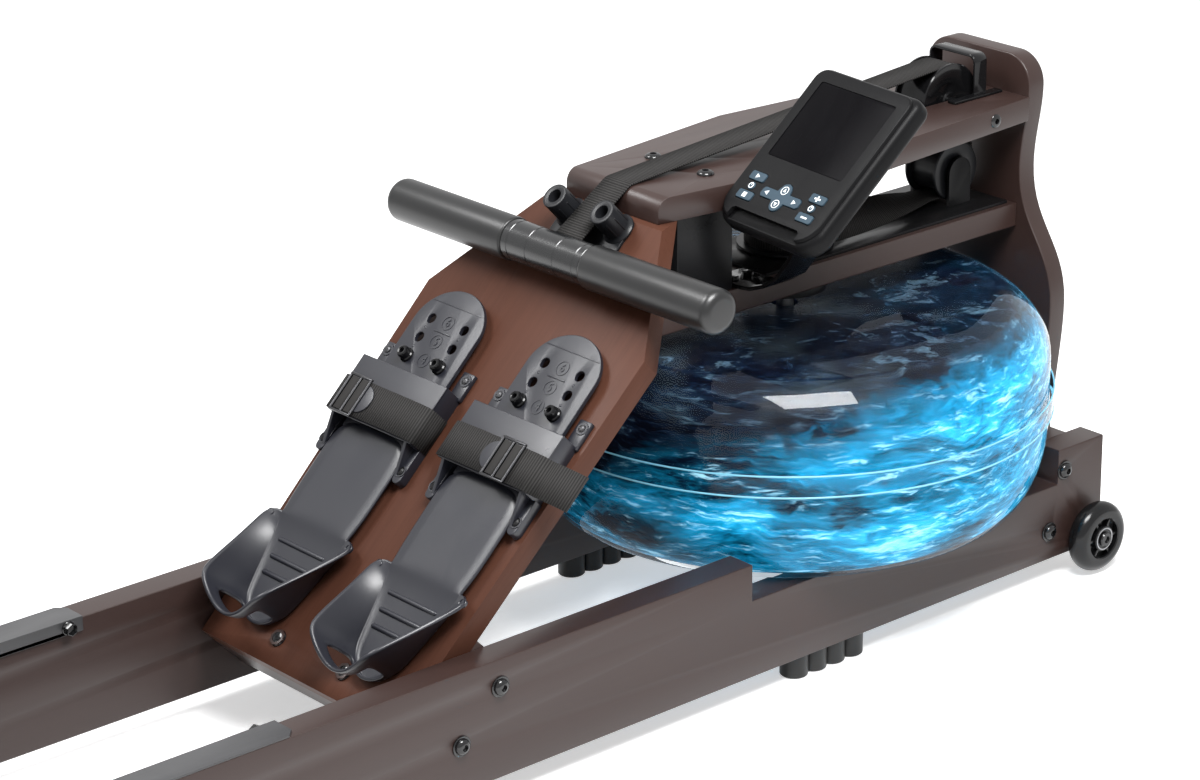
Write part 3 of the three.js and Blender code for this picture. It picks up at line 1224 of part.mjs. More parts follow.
function wheel(side) {
  const bore = WHEEL_AXLE_RADIUS + CLEARANCE;
  const profile = [
    [bore, WHEEL_INNER],
    [WHEEL_RADIUS - WHEEL_EDGE, WHEEL_INNER],
    [WHEEL_RADIUS, WHEEL_INNER + WHEEL_EDGE],
    [WHEEL_RADIUS, WHEEL_OUTER - WHEEL_EDGE],
    [WHEEL_RADIUS - WHEEL_EDGE, WHEEL_OUTER],
    [WHEEL_RIM_RADIUS, WHEEL_OUTER],
    [WHEEL_RIM_RADIUS, WHEEL_OUTER - WHEEL_DISH],
    [WHEEL_HUB_RADIUS, WHEEL_OUTER - WHEEL_DISH],
    [WHEEL_HUB_RADIUS, WHEEL_OUTER - CLEARANCE],
    [bore, WHEEL_OUTER - CLEARANCE],
    [bore, WHEEL_INNER],
  ];
  return turnedAcross(profile.map(([r, y]) => [r, y * side]), [WHEEL_X, WHEEL_Z], WHEEL_SIDES);
}

function wheelAxle() {
  const place = [WHEEL_X, WHEEL_Z];
  const rod = bar("y", WHEEL_AXLE_RADIUS, [-WHEEL_OUTER, WHEEL_OUTER], place, SMALL_SIDES);
  const caps = [
    bar("y", AXLE_CAP_RADIUS, [-WHEEL_OUTER - AXLE_CAP_HEIGHT, -WHEEL_OUTER], place),
    bar("y", AXLE_CAP_RADIUS, [WHEEL_OUTER, WHEEL_OUTER + AXLE_CAP_HEIGHT], place),
  ];
  const collars = [
    bar("y", AXLE_CAP_RADIUS, [-WHEEL_INNER + CLEARANCE, -RAIL_OUTER - CLEARANCE], place),
    bar("y", AXLE_CAP_RADIUS, [RAIL_OUTER + CLEARANCE, WHEEL_INNER - CLEARANCE], place),
  ];
  return join(rod, ...caps, ...collars);
}

machine.add(piece("wheel_axle", wheelAxle(), STEEL()));
machine.add(piece("near_wheel", wheel(-1), RUBBER()));
machine.add(piece("far_wheel", wheel(1), RUBBER()));

// The handle: a bar with a middle sleeve for the strap and a foam grip on each side
const GRIP_WALL_END = 6;
const GRIP_ROUND = 5;

function handleCore() {
  const rodHalf = HANDLE_HALF - GRIP_WALL_END;
  const place = [HANDLE_S, HANDLE_LIFT];
  const rod = bar("y", HANDLE_ROD_RADIUS, [-rodHalf, rodHalf], place, SMALL_SIDES);
  return join(rod, bar("y", SLEEVE_RADIUS, [-SLEEVE_HALF, SLEEVE_HALF], place, WHEEL_SIDES));
}

function grip(side) {
  const bore = HANDLE_ROD_RADIUS + CLEARANCE;
  const start = SLEEVE_HALF + CLEARANCE;
  const bottom = HANDLE_HALF - GRIP_WALL_END + CLEARANCE;
  const cornerPlace = [GRIP_RADIUS - GRIP_ROUND, HANDLE_HALF - GRIP_ROUND];
  const corner = arcPoints(cornerPlace, GRIP_ROUND, 0, Math.PI / 2, 3);
  const profile = [
    [0, bottom],
    [bore, bottom],
    [bore, start],
    [GRIP_RADIUS, start],
    ...corner,
    [0, HANDLE_HALF],
  ];
  return turnedAcross(profile.map(([r, y]) => [r, y * side]), [HANDLE_S, HANDLE_LIFT], WHEEL_SIDES);
}

board.add(piece("handle_core", handleCore(), BLACK_PLASTIC()));
board.add(piece("near_grip", grip(-1), FOAM()));
board.add(piece("far_grip", grip(1), FOAM()));

// The handle rest: a thin plate on the foot board with two hollow pegs behind the handle
const REST_START = 462;
const REST_END = 541;
const REST_HALF = 48.5;
const REST_CORNER = 8;
const REST_SCREW_S = 500;
const REST_SCREW_RADIUS = 4;
const REST_SCREW_HEIGHT = 1.2;

function handleRest() {
  const middle = (REST_START + REST_END) / 2;
  const outline = roundedOutline((REST_END - REST_START) / 2, REST_HALF, REST_CORNER, [middle, 0]);
  const plate = slab(outline, [TOUCH, REST_HEIGHT], 4);
  const parts = [-PEG_Y, PEG_Y].map((y) => {
    const peg = turned(
      [
        [PEG_HOLE_RADIUS, REST_HEIGHT],
        [PEG_RADIUS, REST_HEIGHT],
        [PEG_RADIUS, PEG_HEIGHT],
        [PEG_HOLE_RADIUS, PEG_HEIGHT],
        [PEG_HOLE_RADIUS, REST_HEIGHT],
      ],
      [PEG_S, y],
      ROUND_SIDES,
    );
    const headTop = REST_HEIGHT + REST_SCREW_HEIGHT;
    return join(peg, bar("z", REST_SCREW_RADIUS, [REST_HEIGHT, headTop], [REST_SCREW_S, y], SMALL_SIDES));
  });
  return join(plate, ...parts);
}

board.add(piece("handle_rest", handleRest(), BLACK_PLASTIC()));

// A footrest: a bridge screwed to the board, and a foot plate with a heel cup that slides through it
const FOOTREST_Y = 85.2;
const BRIDGE_START = 246;
const BRIDGE_END = 311;
const BRIDGE_TOP = 25;
const PIN_TOP = 21.8;
const BRIDGE_DECK = BRIDGE_TOP - PIN_TOP - CLEARANCE;
const BRIDGE_INNER = 54.5;
const BRIDGE_OUTER = 64.5;
const TAB_END = 338;
const TAB_HEIGHT = 5;
const TAB_INNER = 50;
const TAB_OUTER = 67;
const TAB_SCREW_S = 329;
const LEG_START = 208;
const LEG_HEIGHT = 11;
const LEG_OUTER = 66;
const LEG_SCREW_S = 221;
const FOOT_SCREW_Y = 60;
const FOOT_SCREW_RADIUS = 4.5;
const FOOT_SCREW_HEIGHT = 1.5;
const BRIDGE_SLOPE_RUN = 8;

function acrossSpan(side, inner, outer) {
  return [Math.min(inner * side, outer * side), Math.max(inner * side, outer * side)];
}

function footBridge() {
  const half = [-BRIDGE_OUTER, BRIDGE_OUTER];
  const body = block([BRIDGE_START, BRIDGE_END], half, [TOUCH, BRIDGE_TOP]);
  const past = [BRIDGE_START - OVERRUN, BRIDGE_END + OVERRUN];
  const tunnel = block(past, [-BRIDGE_INNER, BRIDGE_INNER], [-OVERRUN, BRIDGE_TOP - BRIDGE_DECK]);
  const slope = sideSlab(
    polygon([
      [BRIDGE_END - BRIDGE_SLOPE_RUN, BRIDGE_TOP + CLEARANCE],
      [BRIDGE_END + CLEARANCE, BRIDGE_TOP - BRIDGE_DECK / 2],
      [BRIDGE_END + CLEARANCE, BRIDGE_TOP + CLEARANCE],
    ]),
    [-BRIDGE_OUTER - OVERRUN, BRIDGE_OUTER + OVERRUN],
  );
  const limbs = [-1, 1].map((side) => {
    const tabHeight = [TOUCH, TAB_HEIGHT];
    const tab = block([BRIDGE_END, TAB_END], acrossSpan(side, TAB_INNER, TAB_OUTER), tabHeight);
    const heelAcross = acrossSpan(side, BRIDGE_INNER, TAB_OUTER);
    const heel = block([BRIDGE_END - OVERRUN, BRIDGE_END], heelAcross, tabHeight);
    const legAcross = acrossSpan(side, BRIDGE_INNER, LEG_OUTER);
    const leg = block([LEG_START, BRIDGE_START], legAcross, [TOUCH, LEG_HEIGHT]);
    const place = [TAB_SCREW_S, FOOT_SCREW_Y * side];
    const upperLift = [TAB_HEIGHT, TAB_HEIGHT + FOOT_SCREW_HEIGHT];
    const upper = bar("z", FOOT_SCREW_RADIUS, upperLift, place, SMALL_SIDES);
    const legPlace = [LEG_SCREW_S, FOOT_SCREW_Y * side];
    const lowerLift = [LEG_HEIGHT, LEG_HEIGHT + FOOT_SCREW_HEIGHT];
    const lower = bar("z", FOOT_SCREW_RADIUS, lowerLift, legPlace, SMALL_SIDES);
    return join(tab, heel, leg, upper, lower);
  });
  return join(cut(body, tunnel, slope), ...limbs);
}

const PLATE_TOP = 11.8;
const PLATE_BOTTOM = 7.1;
const PLATE_HALF = 48;
const PLATE_END = 411;
const PLATE_ARC = 21;
const SOLE_HALF = BRIDGE_INNER - CLEARANCE;
const SOLE_START = 139;
const HOLE_ROWS = 3;
const HOLE_FIRST_S = 329.5;
const HOLE_PITCH = 22;
const HOLE_Y = 25;
const HOLE_RADIUS = 5.2;
const PIN_RADIUS = 6.5;
const PIN_EDGE = 2;
const RIBS = [108, 88, 68];
const RIB_HALF = 36;
const RIB_RADIUS = 2.4;
const CUP_WALL = 3.6;
const CUP_FLOOR = 7.2;
const CUP_GROUND = 3.8;
const EAR_S = 133;
const EAR_HALF = 69;
const CUP_RIM = [
  [139, 55, PLATE_TOP],
  [EAR_S + 3, EAR_HALF - 3, PLATE_TOP],
  [EAR_S - 3, EAR_HALF, PLATE_TOP + 1],
  [46, 46, 60],
  [34, 38, 56],
  [15, 17, 45],
];
const CUP_FOOT = [
  [139, 46],
  [EAR_S - 3, 50],
  [48, 34],
  [34, 22],
  [26, 10],
];
const CUP_WINDOW_HALF = 19;
const CUP_WINDOW_LOW = 12;
const CUP_WINDOW_HIGH = 33;
const CUP_WINDOW_REACH = 40;
const CUP_ABOVE = 60;

function bothSides(points) {
  return points.flatMap(([s, y, lift]) => [new THREE.Vector3(s, y, lift), new THREE.Vector3(s, -y, lift)]);
}

function hull(points) {
  return solidOf(new ConvexGeometry(points));
}

// The heel cup: a flaring outer body emptied by a smaller one that keeps going up past its rim
function heelCup() {
  const outer = hull(bothSides([...CUP_RIM, ...CUP_FOOT.map(([s, y]) => [s, y, CUP_GROUND])]));
  const footEnd = SOLE_START - CUP_WALL * 3;
  const foot = CUP_FOOT.map(([s, y]) => [Math.min(s + CUP_WALL, footEnd), y - CUP_WALL, CUP_FLOOR]);
  const rim = CUP_RIM.slice(2).map(([s, y, lift]) => [s + CUP_WALL / 2, y - CUP_WALL, lift]);
  const front = [
    [SOLE_START, PLATE_HALF, PLATE_TOP],
    [SOLE_START, PLATE_HALF, PLATE_TOP + CUP_ABOVE],
  ];
  const above = rim.map(([s, y, lift]) => [s, y, lift + CUP_ABOVE]);
  const inner = hull(bothSides([...foot, ...front, ...rim, ...above]));
  const window = block(
    [-CUP_WINDOW_REACH, CUP_WINDOW_REACH],
    [-CUP_WINDOW_HALF, CUP_WINDOW_HALF],
    [CUP_WINDOW_LOW, CUP_WINDOW_HIGH],
  );
  return cut(outer, inner, window);
}

function footPlate() {
  const shape = new THREE.Shape();
  shape.moveTo(SOLE_START, -SOLE_HALF);
  shape.lineTo(BRIDGE_START - OVERRUN, -SOLE_HALF);
  shape.lineTo(BRIDGE_START, -PLATE_HALF);
  shape.lineTo(PLATE_END - PLATE_ARC * 2, -PLATE_HALF);
  shape.bezierCurveTo(PLATE_END - PLATE_ARC / 2, -PLATE_HALF, PLATE_END, -PLATE_HALF / 2, PLATE_END, 0);
  const shoulder = PLATE_END - PLATE_ARC * 2;
  shape.bezierCurveTo(PLATE_END, PLATE_HALF / 2, PLATE_END - PLATE_ARC / 2, PLATE_HALF, shoulder, PLATE_HALF);
  shape.lineTo(BRIDGE_START, PLATE_HALF);
  shape.lineTo(BRIDGE_START - OVERRUN, SOLE_HALF);
  shape.lineTo(SOLE_START, SOLE_HALF);
  const sole = slab(shape, [PLATE_BOTTOM, PLATE_TOP], 7);
  const holes = [];
  const pins = [];
  for (const y of [-HOLE_Y, HOLE_Y]) {
    for (let row = 1; row < HOLE_ROWS; row += 1) {
      const place = [HOLE_FIRST_S + row * HOLE_PITCH, y];
      holes.push(bar("z", HOLE_RADIUS, [PLATE_BOTTOM - OVERRUN, PLATE_TOP + OVERRUN], place, SMALL_SIDES));
    }
    pins.push(
      turned(
        [
          [0, PLATE_TOP],
          [PIN_RADIUS, PLATE_TOP],
          [PIN_RADIUS, PIN_TOP - PIN_EDGE],
          [PIN_RADIUS - PIN_EDGE, PIN_TOP],
          [0, PIN_TOP],
        ],
        [HOLE_FIRST_S, y],
        SMALL_SIDES,
      ),
    );
  }
  const ribs = RIBS.map((s) => bar("y", RIB_RADIUS, [-RIB_HALF, RIB_HALF], [s, CUP_FLOOR], 8));
  return join(cut(sole, ...holes), ...pins, heelCup(), ...ribs);
}

// The foot strap lies over the bridge; the near one's free end runs on past the edge of the board
const FOOT_STRAP_S = 266;
const FOOT_STRAP_WIDTH = 38;
const FOOT_STRAP_THICKNESS = 1.8;
const FOOT_STRAP_LOW = 2;
const FOOT_STRAP_SIDE = BRIDGE_OUTER + FOOT_STRAP_THICKNESS;
const FOOT_STRAP_DECK = BRIDGE_TOP + FOOT_STRAP_THICKNESS;
const FOOT_STRAP_CROWN = BRIDGE_TOP + 5;
const TAIL = [
  [-74, 23],
  [-82, 18],
];
const STRAP_SIDE_PATH = [
  [FOOT_STRAP_SIDE, FOOT_STRAP_LOW],
  [FOOT_STRAP_SIDE, BRIDGE_TOP - 2],
  [FOOT_STRAP_SIDE - 0.8, BRIDGE_TOP + 1.4],
  [BRIDGE_OUTER - 3, FOOT_STRAP_DECK + 0.9],
  [BRIDGE_OUTER - 20, FOOT_STRAP_CROWN - 1.5],
  [BRIDGE_OUTER / 3, FOOT_STRAP_CROWN],
];

function footStrap(side) {
  const mirrored = STRAP_SIDE_PATH.map(([y, lift]) => [-y, lift]).reverse();
  const tailed = [...mirrored.slice(0, 3), ...TAIL];
  const path = side < 0 ? [...STRAP_SIDE_PATH, ...tailed] : [...STRAP_SIDE_PATH, ...mirrored];
  const along = new THREE.Vector3(1, 0, 0);
  const run = path.map(([y, lift]) => ({ at: new THREE.Vector3(FOOT_STRAP_S, y, lift), across: along }));
  return band(run, FOOT_STRAP_WIDTH, FOOT_STRAP_THICKNESS);
}

// A ladder buckle: a steel frame with a middle bar, and a round tongue on one side
const BUCKLE_LIFT = FOOT_STRAP_CROWN + FOOT_STRAP_THICKNESS / 2 + CLEARANCE;
const BUCKLE_THICKNESS = 2.6;
const BUCKLE_HALF_S = 22;
const BUCKLE_HALF_Y = 16;
const BUCKLE_WIRE = 2.6;
const NEAR_BUCKLE_Y = -22;
const FAR_BUCKLE_Y = 38;

function buckle(y) {
  const height = [BUCKLE_LIFT, BUCKLE_LIFT + BUCKLE_THICKNESS];
  const past = [height[0] - OVERRUN, height[1] + OVERRUN];
  const along = [FOOT_STRAP_S - BUCKLE_HALF_S, FOOT_STRAP_S + BUCKLE_HALF_S];
  const frame = block(along, [y - BUCKLE_HALF_Y, y + BUCKLE_HALF_Y], height);
  const inside = [FOOT_STRAP_S - BUCKLE_HALF_S + BUCKLE_WIRE, FOOT_STRAP_S + BUCKLE_HALF_S - BUCKLE_WIRE];
  const windows = [-1, 1].map((side) => {
    const across = acrossSpan(1, y + side * BUCKLE_WIRE, y + side * (BUCKLE_HALF_Y - BUCKLE_WIRE));
    return block(inside, across, past);
  });
  return cut(frame, ...windows);
}

for (const side of [-1, 1]) {
  const label = side < 0 ? "near" : "far";
  const footrest = new THREE.Group();
  footrest.position.y = side * FOOTREST_Y;
  footrest.add(piece(`${label}_foot_bridge`, footBridge(), BLACK_PLASTIC()));
  footrest.add(piece(`${label}_foot_plate`, footPlate(), BLACK_PLASTIC()));
  footrest.add(piece(`${label}_foot_strap`, footStrap(side), WEBBING()));
  footrest.add(piece(`${label}_strap_buckle`, buckle(side < 0 ? NEAR_BUCKLE_Y : FAR_BUCKLE_Y), STEEL()));
  board.add(footrest);
}

// The seat: a cushion on a carriage that rolls on the tracks
const ROLLER_Y = RAIL_OUTER - RAIL_THICKNESS / 2 + 1;
const ROLLER_Z = TRACK_TOP + ROLLER_RADIUS;
const HANGER_OUTER = RAIL_INNER - CLEARANCE - TRACK_THICKNESS - 3;
const HANGER_THICKNESS = 4;
const HANGER_BOTTOM = TRACK_TOP - TRACK_LIP;
const HANGER_HALF = 100;
const CARRIAGE_BOTTOM = ROLLER_Z + ROLLER_RADIUS + 2;
const CARRIAGE_THICKNESS = 5;
const CARRIAGE_TOP = CARRIAGE_BOTTOM + CARRIAGE_THICKNESS;
const CARRIAGE_HALF = 104;
const CARRIAGE_HALF_WIDTH = 147;
const ROLLER_EDGE = 3;

function seatRollers(x) {
  const place = [x, ROLLER_Z];
  const rollers = [-1, 1].map((side) => {
    const [inner, outer] = [ROLLER_Y - ROLLER_WIDTH / 2, ROLLER_Y + ROLLER_WIDTH / 2];
    const profile = [
      [0, inner],
      [ROLLER_RADIUS - ROLLER_EDGE, inner],
      [ROLLER_RADIUS, inner + ROLLER_EDGE],
      [ROLLER_RADIUS, outer - ROLLER_EDGE],
      [ROLLER_RADIUS - ROLLER_EDGE, outer],
      [0, outer],
    ];
    return turnedAcross(profile.map(([r, y]) => [r, y * side]), place);
  });
  const axle = bar("y", ROLLER_AXLE_RADIUS, [-ROLLER_Y, ROLLER_Y], place, SMALL_SIDES);
  return join(axle, ...rollers);
}

function seatCarriage() {
  const length = [SEAT_X - CARRIAGE_HALF, SEAT_X + CARRIAGE_HALF];
  const plate = block(length, [-CARRIAGE_HALF_WIDTH, CARRIAGE_HALF_WIDTH], [CARRIAGE_BOTTOM, CARRIAGE_TOP]);
  const hangers = [-1, 1].map((side) => {
    const across = acrossSpan(side, HANGER_OUTER - HANGER_THICKNESS, HANGER_OUTER);
    return block([SEAT_X - HANGER_HALF, SEAT_X + HANGER_HALF], across, [HANGER_BOTTOM, CARRIAGE_BOTTOM]);
  });
  const bores = [-ROLLER_SPREAD, ROLLER_SPREAD].map((x) => {
    const past = [-RAIL_OUTER, RAIL_OUTER];
    return bar("y", boreRadius(ROLLER_AXLE_RADIUS, SMALL_SIDES), past, [SEAT_X + x, ROLLER_Z], SMALL_SIDES);
  });
  return cut(join(plate, ...hangers), ...bores);
}

const CUSHION_SIDES = 24;
const CUSHION_SQUARENESS = 3.2;
const CUSHION_CROWN = 10;
const CUSHION_DISH = 9;
// Each ring of the cushion: how far out it reaches and how high it lies, as shares
const CUSHION_RING_SHARES = [
  [0.9, 0],
  [0.95, 0.1],
  [0.985, 0.3],
  [1, 0.52],
  [0.985, 0.7],
  [0.93, 0.8],
  [0.8, 0.8],
  [0.6, 0.8],
  [0.4, 0.8],
  [0.2, 0.8],
  [0.04, 0.8],
];

function seatCushion() {
  const rings = CUSHION_RING_SHARES.map(([reach, height]) => {
    return Array.from({ length: CUSHION_SIDES }, (_, i) => {
      const turn = (i / CUSHION_SIDES) * Math.PI * 2;
      const [c, s] = [Math.cos(turn), Math.sin(turn)];
      const power = 2 / CUSHION_SQUARENESS;
      const across = Math.sign(c) * Math.abs(c) ** power * reach;
      const along = Math.sign(s) * Math.abs(s) ** power * reach;
      const onTop = reach < 0.9 || height > 0.75 ? 1 : 0;
      const offLobe = Math.min(Math.abs(Math.abs(across) - 0.5) * 2, 1);
      const lobe = CUSHION_CROWN * Math.cos(offLobe * (Math.PI / 2));
      const dish = CUSHION_DISH * Math.max(0, along) * (1 - across * across);
      const fade = Math.min(1, (1 - reach) * 5);
      const lift = CARRIAGE_TOP + SEAT_THICKNESS * height + onTop * fade * (lobe - dish);
      return new THREE.Vector3(SEAT_X + (along * SEAT_LENGTH) / 2, (across * SEAT_WIDTH) / 2, lift);
    });
  });
  return loft(rings);
}

machine.add(piece("seat_carriage", seatCarriage(), BLACK_STEEL()));
machine.add(piece("seat_cushion", seatCushion(), SEAT_SKIN()));
machine.add(piece("front_seat_rollers", seatRollers(SEAT_X + ROLLER_SPREAD), BLACK_PLASTIC()));
machine.add(piece("rear_seat_rollers", seatRollers(SEAT_X - ROLLER_SPREAD), BLACK_PLASTIC()));

// The console: a moulded body with a screen, keys and a ledge for a telephone, hinged on an arm
const CONSOLE_CORNER = 12;
const CONSOLE_BEVEL = 5;
const SCREEN_DEPTH = 2.6;
const SCREEN_CORNER = 3;
const KEY_POCKET = 4;
const KEY_TRAVEL = 1;
const KEY_RISE = 1.4;
const KEY_X = 45.8;
const PILL_HALF = 11;
const PILL_RADIUS = 5;
const UPPER_KEY_Y = -70.4;
const ROUND_KEY_Y = -81.6;
const LOWER_KEY_Y = -92.8;
const ROUND_KEY_RADIUS = 4.4;
const PAD_Y = -82.5;
const PAD_HALF = 28.5;
const PAD_ARM_RADIUS = 5.6;
const PAD_HALF_HEIGHT = 16;
const PAD_END_RADIUS = 7.5;
const LEDGE_HALF = 64;
const LEDGE_TOP = -107;
const LEDGE_DEPTH = 9;
const PORT_Y = 4;
const PORT_HALF = 7;
const PORT_DEPTH = 3;
const PORT_HEIGHT = 6;
const HINGE_B = -60;
const HINGE_N = -38;
const HINGE_RADIUS = 4;
const LUG_INNER = 9;
const LUG_OUTER = 17;
const LUG_RADIUS = 9;
const BOARD_ROOM = 2;
const TILT_LIMIT = THREE.MathUtils.degToRad(30);
const TILT_STEPS = 6;

function pill(half, radius, y, x, height) {
  return slab(roundedOutline(half, radius, radius - CLEARANCE / 10, [x, y]), height, 4);
}

function padSolid(extra, height) {
  const wide = pill(PAD_HALF + extra, PAD_ARM_RADIUS + extra, PAD_Y, 0, height);
  const reach = PAD_HALF_HEIGHT - PAD_END_RADIUS;
  const ends = [-reach, reach].map((y) => bar("z", PAD_END_RADIUS + extra, height, [0, PAD_Y + y], 16));
  return join(wide, ...ends);
}

const KEYS = [
  ["upper_left_key", -KEY_X, UPPER_KEY_Y],
  ["lower_left_key", -KEY_X, LOWER_KEY_Y],
  ["upper_right_key", KEY_X, UPPER_KEY_Y],
  ["lower_right_key", KEY_X, LOWER_KEY_Y],
];
const ROUND_KEYS = [
  ["left_round_key", -KEY_X],
  ["right_round_key", KEY_X],
];

// The corners of the top board's nose and of a margin round it, as the console sees them when it is tilted
function topBoardCorners(tilt) {
  const plan = [
    [TOP_BOARD_NOSE, -TOP_BOARD_NOSE_HALF - BOARD_ROOM],
    [TANK_X, -TOP_BOARD_WIDE_HALF - BOARD_ROOM],
    [TANK_X, 0],
    [TOP_BOARD_NOSE, 0],
  ];
  const hinge = new THREE.Vector3(0, HINGE_B, HINGE_N);
  const heights = [TOP_BOARD_BOTTOM - BOARD_ROOM, TOP_BOARD_TOP + BOARD_ROOM];
  return plan.flatMap(([x, y]) => heights.map((z) => {
    const corner = console_.worldToLocal(new THREE.Vector3(x, y, z)).sub(hinge);
    return corner.applyAxisAngle(new THREE.Vector3(1, 0, 0), tilt).add(hinge);
  }));
}

// The room that the top board needs beside the console at every tilt, in the console's own frame
function topBoardRoom() {
  const rooms = Array.from({ length: TILT_STEPS }, (_, i) => {
    const [from, to] = [i, i + 1].map((step) => (step / TILT_STEPS) * TILT_LIMIT);
    return hull([...topBoardCorners(from), ...topBoardCorners(to)]);
  });
  return join(...rooms);
}

function consoleBody() {
  const middle = (CONSOLE_ABOVE - CONSOLE_BELOW) / 2;
  const halfHeight = (CONSOLE_ABOVE + CONSOLE_BELOW) / 2;
  const outline = roundedOutline(CONSOLE_HALF, halfHeight, CONSOLE_CORNER, [0, middle]);
  const raised = new THREE.ExtrudeGeometry(outline, {
    depth: CONSOLE_DEPTH - CONSOLE_BEVEL * 2,
    bevelThickness: CONSOLE_BEVEL,
    bevelSize: CONSOLE_BEVEL,
    bevelOffset: -CONSOLE_BEVEL,
    bevelSegments: 2,
    curveSegments: 3,
  });
  const shell = solidOf(raised.translate(0, 0, CONSOLE_BEVEL - CONSOLE_DEPTH));
  const [screenRoom, screenHeightRoom] = [SCREEN_HALF + CLEARANCE, SCREEN_HALF_HEIGHT + CLEARANCE];
  const screenShape = roundedOutline(screenRoom, screenHeightRoom, SCREEN_CORNER);
  const pocket = [-KEY_POCKET, OVERRUN];
  const cuts = [
    slab(screenShape, [-SCREEN_DEPTH, OVERRUN], 3),
    padSolid(CLEARANCE, pocket),
    ...KEYS.map(([, x, y]) => pill(PILL_HALF + CLEARANCE, PILL_RADIUS + CLEARANCE, y, x, pocket)),
    ...ROUND_KEYS.map(([, x]) => {
      return bar("z", ROUND_KEY_RADIUS + CLEARANCE, pocket, [x, ROUND_KEY_Y], SMALL_SIDES);
    }),
    block([-LEDGE_HALF, LEDGE_HALF], [-CONSOLE_BELOW - OVERRUN, LEDGE_TOP], [-LEDGE_DEPTH, OVERRUN]),
    block(
      [CONSOLE_HALF - PORT_DEPTH, CONSOLE_HALF + OVERRUN],
      [PORT_Y - PORT_HALF, PORT_Y + PORT_HALF],
      [-CONSOLE_DEPTH / 2 - PORT_HEIGHT / 2, -CONSOLE_DEPTH / 2 + PORT_HEIGHT / 2],
    ),
    topBoardRoom(),
  ];
  const lugs = [-1, 1].map((side) => {
    const across = acrossSpan(side, LUG_INNER, LUG_OUTER);
    const lugHeight = [HINGE_N, -CONSOLE_DEPTH + CLEARANCE];
    const root = block(across, [HINGE_B - LUG_RADIUS, HINGE_B + LUG_RADIUS], lugHeight);
    return join(root, bar("x", LUG_RADIUS, across, [HINGE_B, HINGE_N]));
  });
  const past = [-LUG_OUTER - OVERRUN, LUG_OUTER + OVERRUN];
  const bore = bar("x", boreRadius(HINGE_RADIUS, SMALL_SIDES), past, [HINGE_B, HINGE_N], SMALL_SIDES);
  return cut(join(cut(shell, ...cuts), ...lugs), bore);
}

function consoleScreen() {
  const outline = roundedOutline(SCREEN_HALF, SCREEN_HALF_HEIGHT, SCREEN_CORNER);
  return slab(outline, [TOUCH - SCREEN_DEPTH, -CLEARANCE], 3);
}

// The arm: a bent strip from the lower board up to the console's hinge pin
const ARM_SETBACK = 33;
const ARM_REAR = CONSOLE_X - ARM_SETBACK;
const ARM_WIDTH = 40;
const ARM_THICKNESS = 4;
const ARM_EYE_RADIUS = 10;
const ARM_ROOT_Y = -26;
const ARM_REACH = 125;
const ARM_RISE = 80;
// The arm's bend, as shares of its reach and of its rise
const ARM_BEND_SHARES = [
  [0, 0],
  [0.272, 0],
  [0.416, 0.025],
  [0.56, 0.1125],
  [0.704, 0.2625],
  [0.824, 0.5],
  [0.936, 0.775],
  [1, 1],
];
const ARM_SCREW_RADIUS = 6;
const ARM_SCREW_HEIGHT = 3;
const ARM_SCREW_Y = -44;

function consoleArm() {
  const hinge = console_.localToWorld(new THREE.Vector3(0, HINGE_B, HINGE_N));
  const middle = ARM_REAR + ARM_WIDTH / 2;
  const alongX = new THREE.Vector3(1, 0, 0);
  const foot = LOWER_BOARD_TOP + ARM_THICKNESS / 2;
  const bend = ARM_BEND_SHARES.map(([out, up]) => [ARM_ROOT_Y - ARM_REACH * out, foot + ARM_RISE * up]);
  const neckBottom = foot + ARM_RISE + OVERRUN;
  const path = [...bend, [hinge.y, neckBottom], [hinge.y, neckBottom + OVERRUN]];
  const run = path.map(([y, z]) => ({ at: new THREE.Vector3(middle, y, z), across: alongX }));
  const strip = band(run, ARM_WIDTH, ARM_THICKNESS);
  const across = [hinge.y - ARM_THICKNESS / 2, hinge.y + ARM_THICKNESS / 2];
  const eye = bar("y", ARM_EYE_RADIUS, across, [hinge.x, hinge.z]);
  const neck = block([hinge.x - ARM_EYE_RADIUS, hinge.x + ARM_EYE_RADIUS], across, [neckBottom, hinge.z]);
  const pin = new THREE.CylinderGeometry(HINGE_RADIUS, HINGE_RADIUS, LUG_OUTER * 2 + 1, SMALL_SIDES);
  pin.rotateZ(Math.PI / 2).translate(0, HINGE_B, HINGE_N).applyMatrix4(console_.matrixWorld);
  const screws = [-1, 1].map((side) => {
    const place = [middle + side * (ARM_WIDTH / 4), ARM_SCREW_Y];
    const face = LOWER_BOARD_TOP + ARM_THICKNESS;
    return bar("z", ARM_SCREW_RADIUS, [face - CLEARANCE, face + ARM_SCREW_HEIGHT], place, SMALL_SIDES);
  });
  return join(strip, eye, neck, solidOf(pin), ...screws);
}

const keyHeight = [-KEY_POCKET + KEY_TRAVEL + CLEARANCE, KEY_RISE];
console_.add(piece("console_body", consoleBody(), BLACK_PLASTIC()));
console_.add(piece("console_screen", consoleScreen(), GLOSS_BLACK()));
for (const [name, x, y] of KEYS) {
  console_.add(piece(name, pill(PILL_HALF, PILL_RADIUS, y, x, keyHeight), KEY_RUBBER()));
}
for (const [name, x] of ROUND_KEYS) {
  const roundKey = bar("z", ROUND_KEY_RADIUS, keyHeight, [x, ROUND_KEY_Y], SMALL_SIDES);
  console_.add(piece(name, roundKey, KEY_RUBBER()));
}
console_.add(piece("direction_pad", padSolid(0, keyHeight), KEY_RUBBER()));
machine.add(piece("console_arm", consoleArm(), BLACK_STEEL()));

export default machine;
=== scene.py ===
"""Looks of a water rowing machine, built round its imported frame. Shapes are drawn in millimetres."""
from math import acos, atan2, cos, degrees, exp, hypot, pi, radians, sin, sqrt

import bmesh
import bpy
from mathutils import Matrix, Vector


